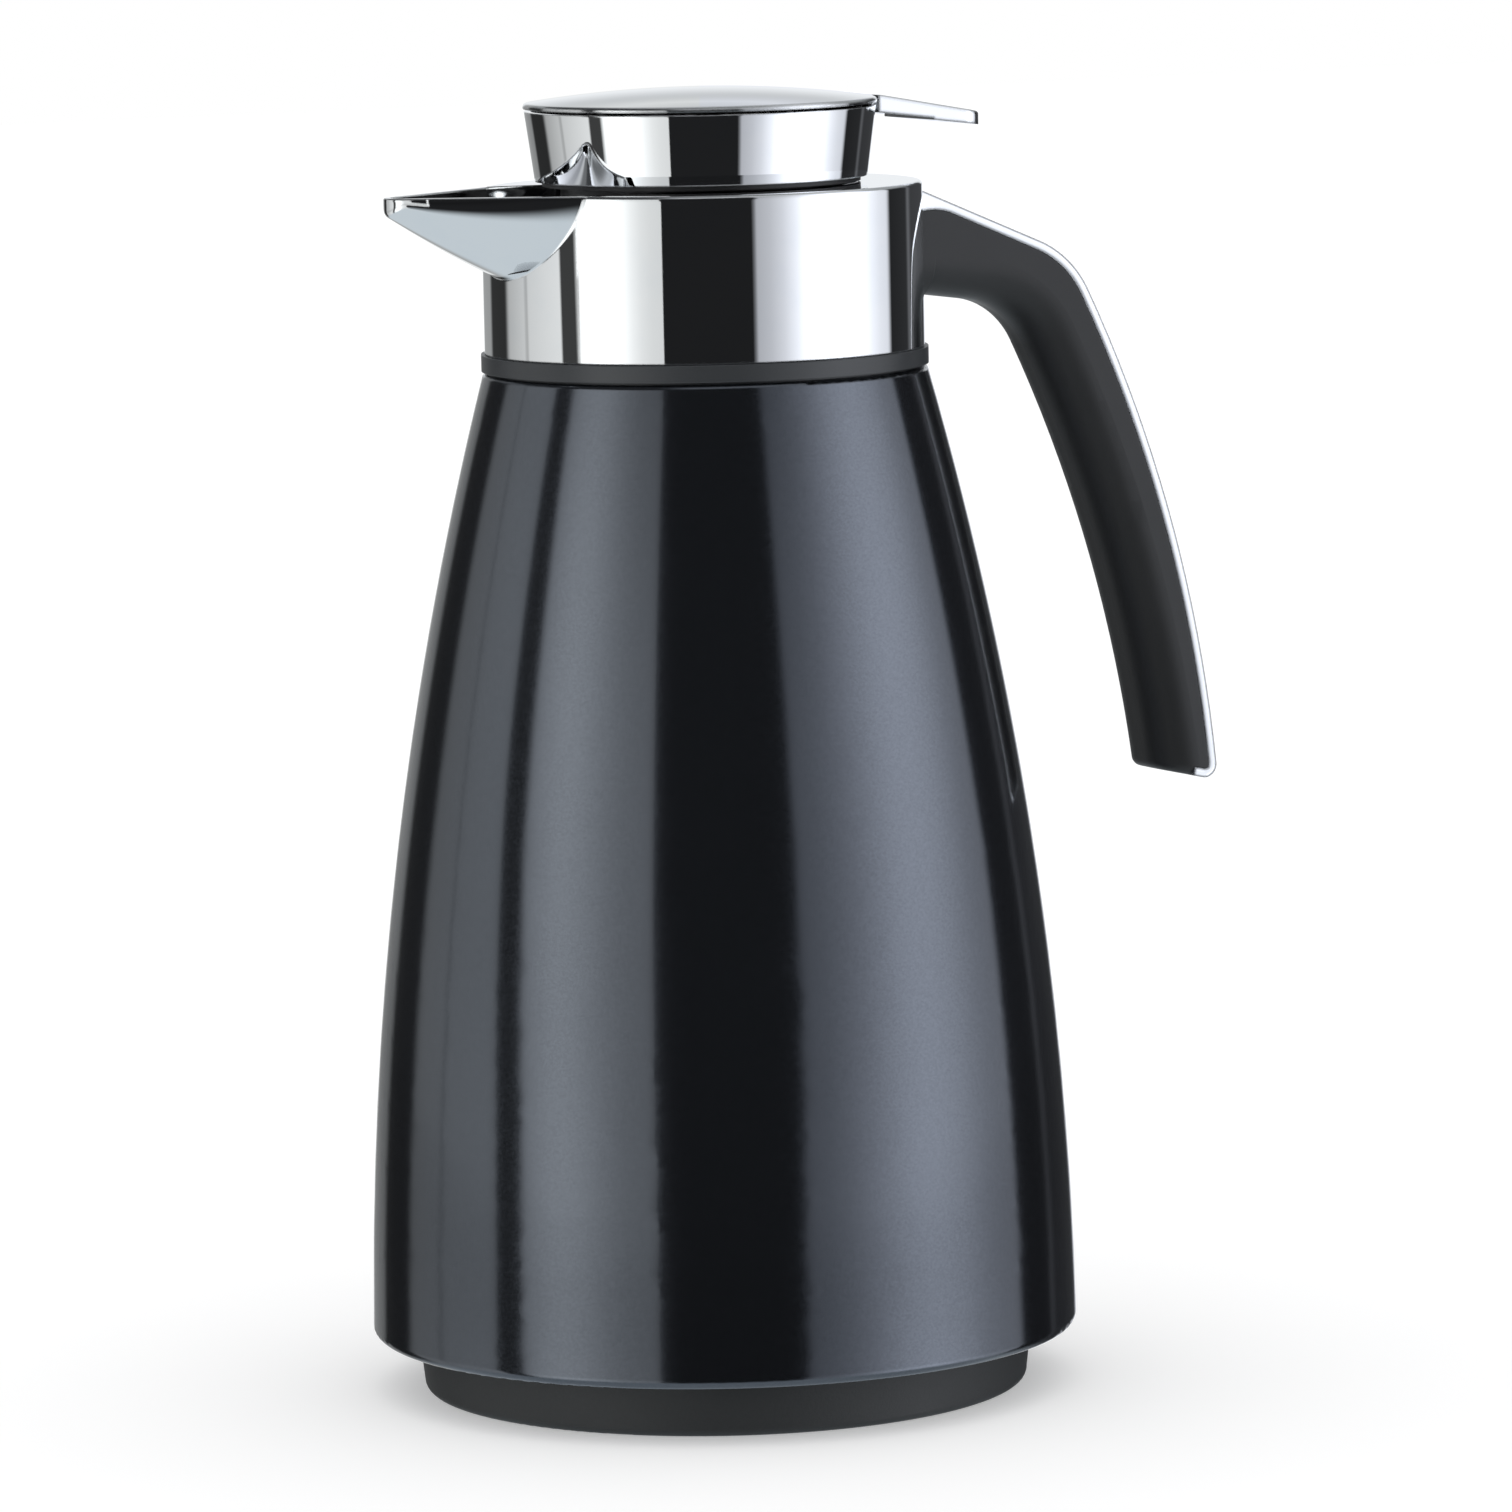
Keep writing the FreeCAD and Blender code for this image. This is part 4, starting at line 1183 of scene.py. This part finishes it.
@dataclass(frozen=True)
class LightCard:
    """Upright card or dark flag round the jug, between two bearings from the camera in degrees.

    Its light goes evenly from low to high. A soft hot spot of a given swell, centre and width may be added.
    The card is drawn in a number of steps.
    """

    name: str
    first: float
    last: float
    low: float
    high: float
    swell: float = 0.0
    centre: float = 0.0
    width: float = 1.0
    steps: int = 1

    def brightness(self, bearing: float) -> float:
        """Light at a bearing: a slope from edge to edge, with a soft hot spot."""
        slope = self.low + (self.high - self.low) * (bearing - self.first) / (self.last - self.first)
        return slope + self.swell * math.exp(-((bearing - self.centre) / self.width) ** 2)

    def stops(self, tint: Rgb) -> list[tuple[float, Rgb]]:
        """Stops of a colour ramp that goes once round the jug.

        Args:
            tint: the card's colour.

        Returns:
            Places from 0 to 1 with their colours.
        """
        bearings = [self.first + (self.last - self.first) * i / self.steps for i in range(self.steps + 1)]
        return [(a / 360 + 0.5, tuple(self.brightness(a) * c for c in tint)) for a in bearings]


@dataclass(frozen=True)
class Patch:
    """Colour of a part of the room, with the span of heights over which it comes in."""

    colour: Rgb
    heights: Span


@dataclass
class Room:
    """What the jug mirrors: light cards with dark gaps, a far wall, a ceiling, a flag and the table.

    The directions point to the camera's right and away from it. Heights are sines of the angle above level.
    Places in front and to the side are cosines of the angle from the camera and from its right.
    """

    across: Vector
    away: Vector

    LEFT: ClassVar[tuple[LightCard, ...]] = (
        LightCard("back wall", -180, -172, 0.95, 0.95),
        LightCard("left return", -169, -150, 0.38, 0.34),
        LightCard("left flag", -146, -127, 0.035, 0.030),
        LightCard("left far card", -123, -108, 0.48, 0.63),
        LightCard("join of the left cards", -106.5, -105.5, 0.45, 0.45),
        LightCard("left near card", -104, -80, 0.68, 0.82),
        LightCard("stand", -79, -70, 0.05, 0.05),
        LightCard("left window", -68, -22, 0.74, 0.74, swell=0.86, centre=-54, width=15.7, steps=9))
    RIGHT: ClassVar[tuple[LightCard, ...]] = (
        LightCard("camera flag", -20, 26, 0.014, 0.014),
        LightCard("right window", 28, 112, 0.44, 0.76, swell=1.32, centre=72, width=23.5, steps=12),
        LightCard("right flag", 115, 133, 0.02, 0.03),
        LightCard("glint", 135.5, 136.5, 0.14, 0.14),
        LightCard("right far flag", 140, 167, 0.05, 0.06),
        LightCard("back wall", 171, 180, 0.95, 0.95))
    LEFT_TINT: ClassVar[Rgb] = (0.970, 0.990, 0.990)
    RIGHT_TINT: ClassVar[Rgb] = (0.950, 0.980, 1.055)
    # Light of the cards by height, from 0 straight down to 1 straight up.
    CARD_LIGHT: ClassVar[tuple[Span, ...]] = (
        (0.0, 1.0), (0.36, 1.0), (0.43, 0.74), (0.448, 0.76), (0.462, 0.94), (0.476, 0.94), (0.51, 0.90),
        (0.60, 0.95), (0.65, 0.86), (0.71, 0.66), (1.0, 0.62))
    # The cards lean apart a little towards the camera, higher up.
    SPREAD: ClassVar[float] = 0.07
    SPREAD_HEIGHTS: ClassVar[Span] = (-0.1, 0.15)
    SPREAD_FRONT: ClassVar[Span] = (-0.45, -0.05)
    # The far wall shows right behind the jug, and over the tops of the cards.
    FAR_FOOT: ClassVar[Rgb] = (0.87, 0.895, 0.92)
    FAR: ClassVar[Patch] = Patch((0.32, 0.335, 0.345), (0.03, 0.36))
    BEHIND_FRONT: ClassVar[Span] = (-0.985, -0.95)
    BEHIND_HEIGHTS: ClassVar[Span] = (0.0, 0.05)
    OVER_FRONT: ClassVar[Span] = (-0.35, -0.12)
    OVER_HEIGHTS: ClassVar[Span] = (0.20, 0.45)
    CEILING: ClassVar[Patch] = Patch((0.52, 0.535, 0.555), (0.55, 0.75))
    ZENITH: ClassVar[Patch] = Patch((0.16, 0.165, 0.17), (0.80, 0.97))
    FLAG: ClassVar[Patch] = Patch((0.05, 0.052, 0.055), (0.43, 0.50))
    FLAG_SIDE: ClassVar[Span] = (-0.35, -0.10)
    TABLE: ClassVar[Patch] = Patch((0.56, 0.62, 0.66), (-0.66, -0.40))
    # Even light for dull surfaces, from the low parts of the room to white.
    SOFT_LOW: ClassVar[Rgb] = (0.80, 0.81, 0.83)
    WHITE: ClassVar[Patch] = Patch((1.0, 1.0, 1.0), (-0.2, 0.9))

    def build(self) -> None:
        """Make the world: the room in mirrors, even light on dull surfaces and white behind the jug."""
        world = bpy.data.worlds.new("studio")
        bpy.context.scene.world = world
        world.use_nodes = True
        graph = Graph(world.node_tree)
        look = graph.node("ShaderNodeTexCoord", out="Generated")
        side = graph.dot(look, self.across)
        front = graph.dot(look, -self.away)
        up = graph.node("ShaderNodeSeparateXYZ", None, [look], "Z")
        wall = self._far_wall(graph, self._cards(graph, side, front, up), front, up)
        room = self._overhead(graph, wall, side, up)
        glossy, through, seen = (graph.node("ShaderNodeLightPath", out=f"Is {ray} Ray")
                                 for ray in ("Glossy", "Transmission", "Camera"))
        soft = graph.mix(up.ramp(*self.WHITE.heights), self.SOFT_LOW, self.WHITE.colour)
        air = graph.mix(glossy.math("MAXIMUM", through), soft, room)
        shown = graph.mix(seen, air, self.WHITE.colour)
        back = graph.node("ShaderNodeBackground", None, {"Color": shown, "Strength": 1.0})
        graph.node("ShaderNodeOutputWorld", None, {"Surface": back})

    def _cards(self, graph: Graph, side: Wire, front: Wire, up: Wire) -> Wire:
        """Light of the cards.

        Args:
            graph: the world's node tree.
            side: place to the side.
            front: place in front.
            up: height.

        Returns:
            The light.
        """
        spread = 1.0 + self.SPREAD * up.ramp(*self.SPREAD_HEIGHTS) * front.ramp(*self.SPREAD_FRONT)
        turn = side.math("ARCTAN2", front) / spread / (2 * math.pi) + 0.5
        halves = [graph.colours(turn, [stop for card in cards for stop in card.stops(tint)])
                  for cards, tint in ((self.LEFT, self.LEFT_TINT), (self.RIGHT, self.RIGHT_TINT))]
        split = (self.LEFT[-1].last + self.RIGHT[0].first) / 2 / 360 + 0.5
        band = graph.mix(turn.math("GREATER_THAN", split), *halves)
        light = graph.colours(up * 0.5 + 0.5, [(place, (v, v, v)) for place, v in self.CARD_LIGHT])
        return graph.node("ShaderNodeVectorMath", {"operation": "MULTIPLY"}, [band, light])

    def _far_wall(self, graph: Graph, cards: Wire, front: Wire, up: Wire) -> Wire:
        """Cards with the far wall behind and above them.

        Args:
            graph: the world's node tree.
            cards: light of the cards.
            front: place in front.
            up: height.

        Returns:
            The light.
        """
        far = graph.mix(up.ramp(*self.FAR.heights), self.FAR_FOOT, self.FAR.colour)
        over = front.ramp(*self.OVER_FRONT, 1.0, 0.0) * up.ramp(*self.OVER_HEIGHTS)
        behind = front.ramp(*self.BEHIND_FRONT, 1.0, 0.0) * up.ramp(*self.BEHIND_HEIGHTS)
        return graph.mix(behind.math("MAXIMUM", over), cards, far)

    def _overhead(self, graph: Graph, wall: Wire, side: Wire, up: Wire) -> Wire:
        """Walls with the ceiling, the flag on the left and the table.

        Args:
            graph: the world's node tree.
            wall: light of the walls.
            side: place to the side.
            up: height.

        Returns:
            The light.
        """
        ceiling = graph.mix(up.ramp(*self.CEILING.heights), wall, self.CEILING.colour)
        zenith = graph.mix(up.ramp(*self.ZENITH.heights), ceiling, self.ZENITH.colour)
        flag = side.ramp(*self.FLAG_SIDE, 1.0, 0.0) * up.ramp(*self.FLAG.heights)
        shaded = graph.mix(flag, zenith, self.FLAG.colour)
        return graph.mix(up.ramp(*self.TABLE.heights, 1.0, 0.0), shaded, self.TABLE.colour)


@dataclass
class Studio:
    """Floor, room and camera.

    Lengths are in metres, angles in degrees, and the lens and its sensor in millimetres.
    """

    distance: float = 1.9072
    height: float = 0.3711
    bearing: float = 26.16
    pitch: float = 6.872
    yaw: float = 0.287
    roll: float = 1.164
    lens: float = 204.41
    sensor: float = 36.0
    sight: float = 60.0
    floor_half: float = 6.0
    floor_dark: Rgb = (0.80, 0.80, 0.80)
    floor_light: Rgb = (0.82, 0.82, 0.82)
    floor_glow: float = 0.30
    mottles_per_metre: float = 3.0

    def build(self) -> None:
        """Set up the whole studio."""
        self.floor()
        Room(*self.axes()).build()
        self.camera()
        bpy.context.scene.view_settings.view_transform = "Standard"

    def axes(self) -> tuple[Vector, Vector]:
        """Level directions to the camera's right and away from it."""
        a = math.radians(self.bearing)
        return Vector((math.cos(a), -math.sin(a), 0.0)), Vector((math.sin(a), math.cos(a), 0.0))

    def camera(self) -> None:
        """Camera where the photograph was taken from."""
        across, away = self.axes()
        yaw, pitch, roll = (math.radians(v) for v in (self.yaw, self.pitch, self.roll))
        level = across * math.sin(yaw) + away * math.cos(yaw)
        forward = level * math.cos(pitch) - Vector((0.0, 0.0, math.sin(pitch)))
        right = across * math.cos(yaw) - away * math.sin(yaw)
        up = right.cross(forward)
        side = right * math.cos(roll) - up * math.sin(roll)
        top = right * math.sin(roll) + up * math.cos(roll)
        turn = Matrix((side, top, -forward)).transposed()
        stand = -away * self.distance + Vector((0.0, 0.0, self.height))
        data = bpy.data.cameras.new("camera")
        data.sensor_width = self.sensor
        data.lens = self.lens
        data.clip_end = self.sight
        camera = bpy.data.objects.new("camera", data)
        bpy.context.scene.collection.objects.link(camera)
        camera.matrix_world = Matrix.Translation(stand) @ turn.to_4x4()
        bpy.context.scene.camera = camera

    def floor(self) -> None:
        """Pale floor that shows its shadow to the eye and stays out of the reflections."""
        h = self.floor_half
        mesh = bpy.data.meshes.new("floor")
        mesh.from_pydata([(-h, -h, 0), (h, -h, 0), (h, h, 0), (-h, h, 0)], [], [(0, 1, 2, 3)])
        floor = bpy.data.objects.new("floor", mesh)
        bpy.context.scene.collection.objects.link(floor)
        mesh.materials.append(self._floor_finish())

    def _floor_finish(self) -> bpy.types.Material:
        """Paper with a faint mottle, a little brighter to the eye and clear in mirrors.

        Returns:
            The material.
        """
        material = bpy.data.materials.new("pale_floor")
        material.use_nodes = True
        graph = Graph(material.node_tree)
        mottle = graph.noise(graph.place(), self.mottles_per_metre)
        tone = graph.mix(mottle, self.floor_dark, self.floor_light)
        paper = graph.node("ShaderNodeBsdfDiffuse", None, {"Color": tone})
        white = rgba((1.0, 1.0, 1.0))
        glow = graph.node("ShaderNodeEmission", None, {"Color": white, "Strength": self.floor_glow})
        lit = graph.node("ShaderNodeAddShader", None, [paper, glow])
        eye = graph.node("ShaderNodeLightPath", out="Is Camera Ray")
        glossy = graph.node("ShaderNodeLightPath", out="Is Glossy Ray")
        seen = graph.node("ShaderNodeMixShader", None, [eye, paper, lit])
        clear = graph.node("ShaderNodeBsdfTransparent")
        shown = graph.node("ShaderNodeMixShader", None, [glossy, seen, clear])
        graph.node("ShaderNodeOutputMaterial", None, {"Surface": shown})
        return material


def around(radius: float, height: float, bearings: Sequence[float]) -> list[Place]:
    """Points on a circle about the jug's axis, in metres.

    Args:
        radius: the circle's radius in metres.
        height: its height in metres.
        bearings: bearings in degrees.

    Returns:
        The points.
    """
    turns = [math.radians(a) for a in bearings]
    return [(radius * math.cos(a), radius * math.sin(a), height) for a in turns]


def screw_sets(wardrobe: Wardrobe) -> list[ScrewSet]:
    """The jug's three sets of screws.

    Args:
        wardrobe: where the finishes come from.

    Returns:
        Collar, handle and cover screws.
    """
    up, out = (0.0, 0.0, 1.0), (1.0, 0.0, 0.0)
    collar = ScrewSet("collar_cross_screws", node="collar_screws", body="jug", slot="steel",
                      head_radius=0.0028, head_height=0.0022, shank_radius=0.0015, length=0.020,
                      places=around(radius=0.0445, height=0.2276, bearings=(60, 120, -60, -120)),
                      axis=up, wardrobe=wardrobe)
    handle = ScrewSet("handle_cross_screws", node="handle_screws", body="jug", slot="steel",
                      head_radius=0.0034, head_height=0.0026, shank_radius=0.0019, length=0.01525,
                      places=[(0.046553, 0.0, 0.2564), (0.046553, 0.0, 0.2474)],
                      axis=out, wardrobe=wardrobe)
    cover = ScrewSet("cover_cross_screws", node="cover_screws", body="cover", slot="steel",
                     head_radius=0.0022, head_height=0.0014, shank_radius=0.0011, length=0.0034,
                     places=around(radius=0.022, height=0.2844, bearings=(60, 180, 300)),
                     axis=up, wardrobe=wardrobe)
    return [collar, handle, cover]


def main() -> None:
    """Dress the jug."""
    logging.basicConfig(level=logging.INFO, format="%(name)s %(message)s")
    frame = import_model()
    wardrobe = Wardrobe()
    neck = Neck(frame["nodes"], wardrobe)
    for group in (Shell(frame["nodes"], wardrobe), Vessel(frame["nodes"], wardrobe), neck,
                  Handle(frame["nodes"], wardrobe), Lid(frame["nodes"], wardrobe)):
        group.dress()
    neck.build()
    for screws in screw_sets(wardrobe):
        screws.build()
    Studio().build()


if __name__ == "__main__":
    main()
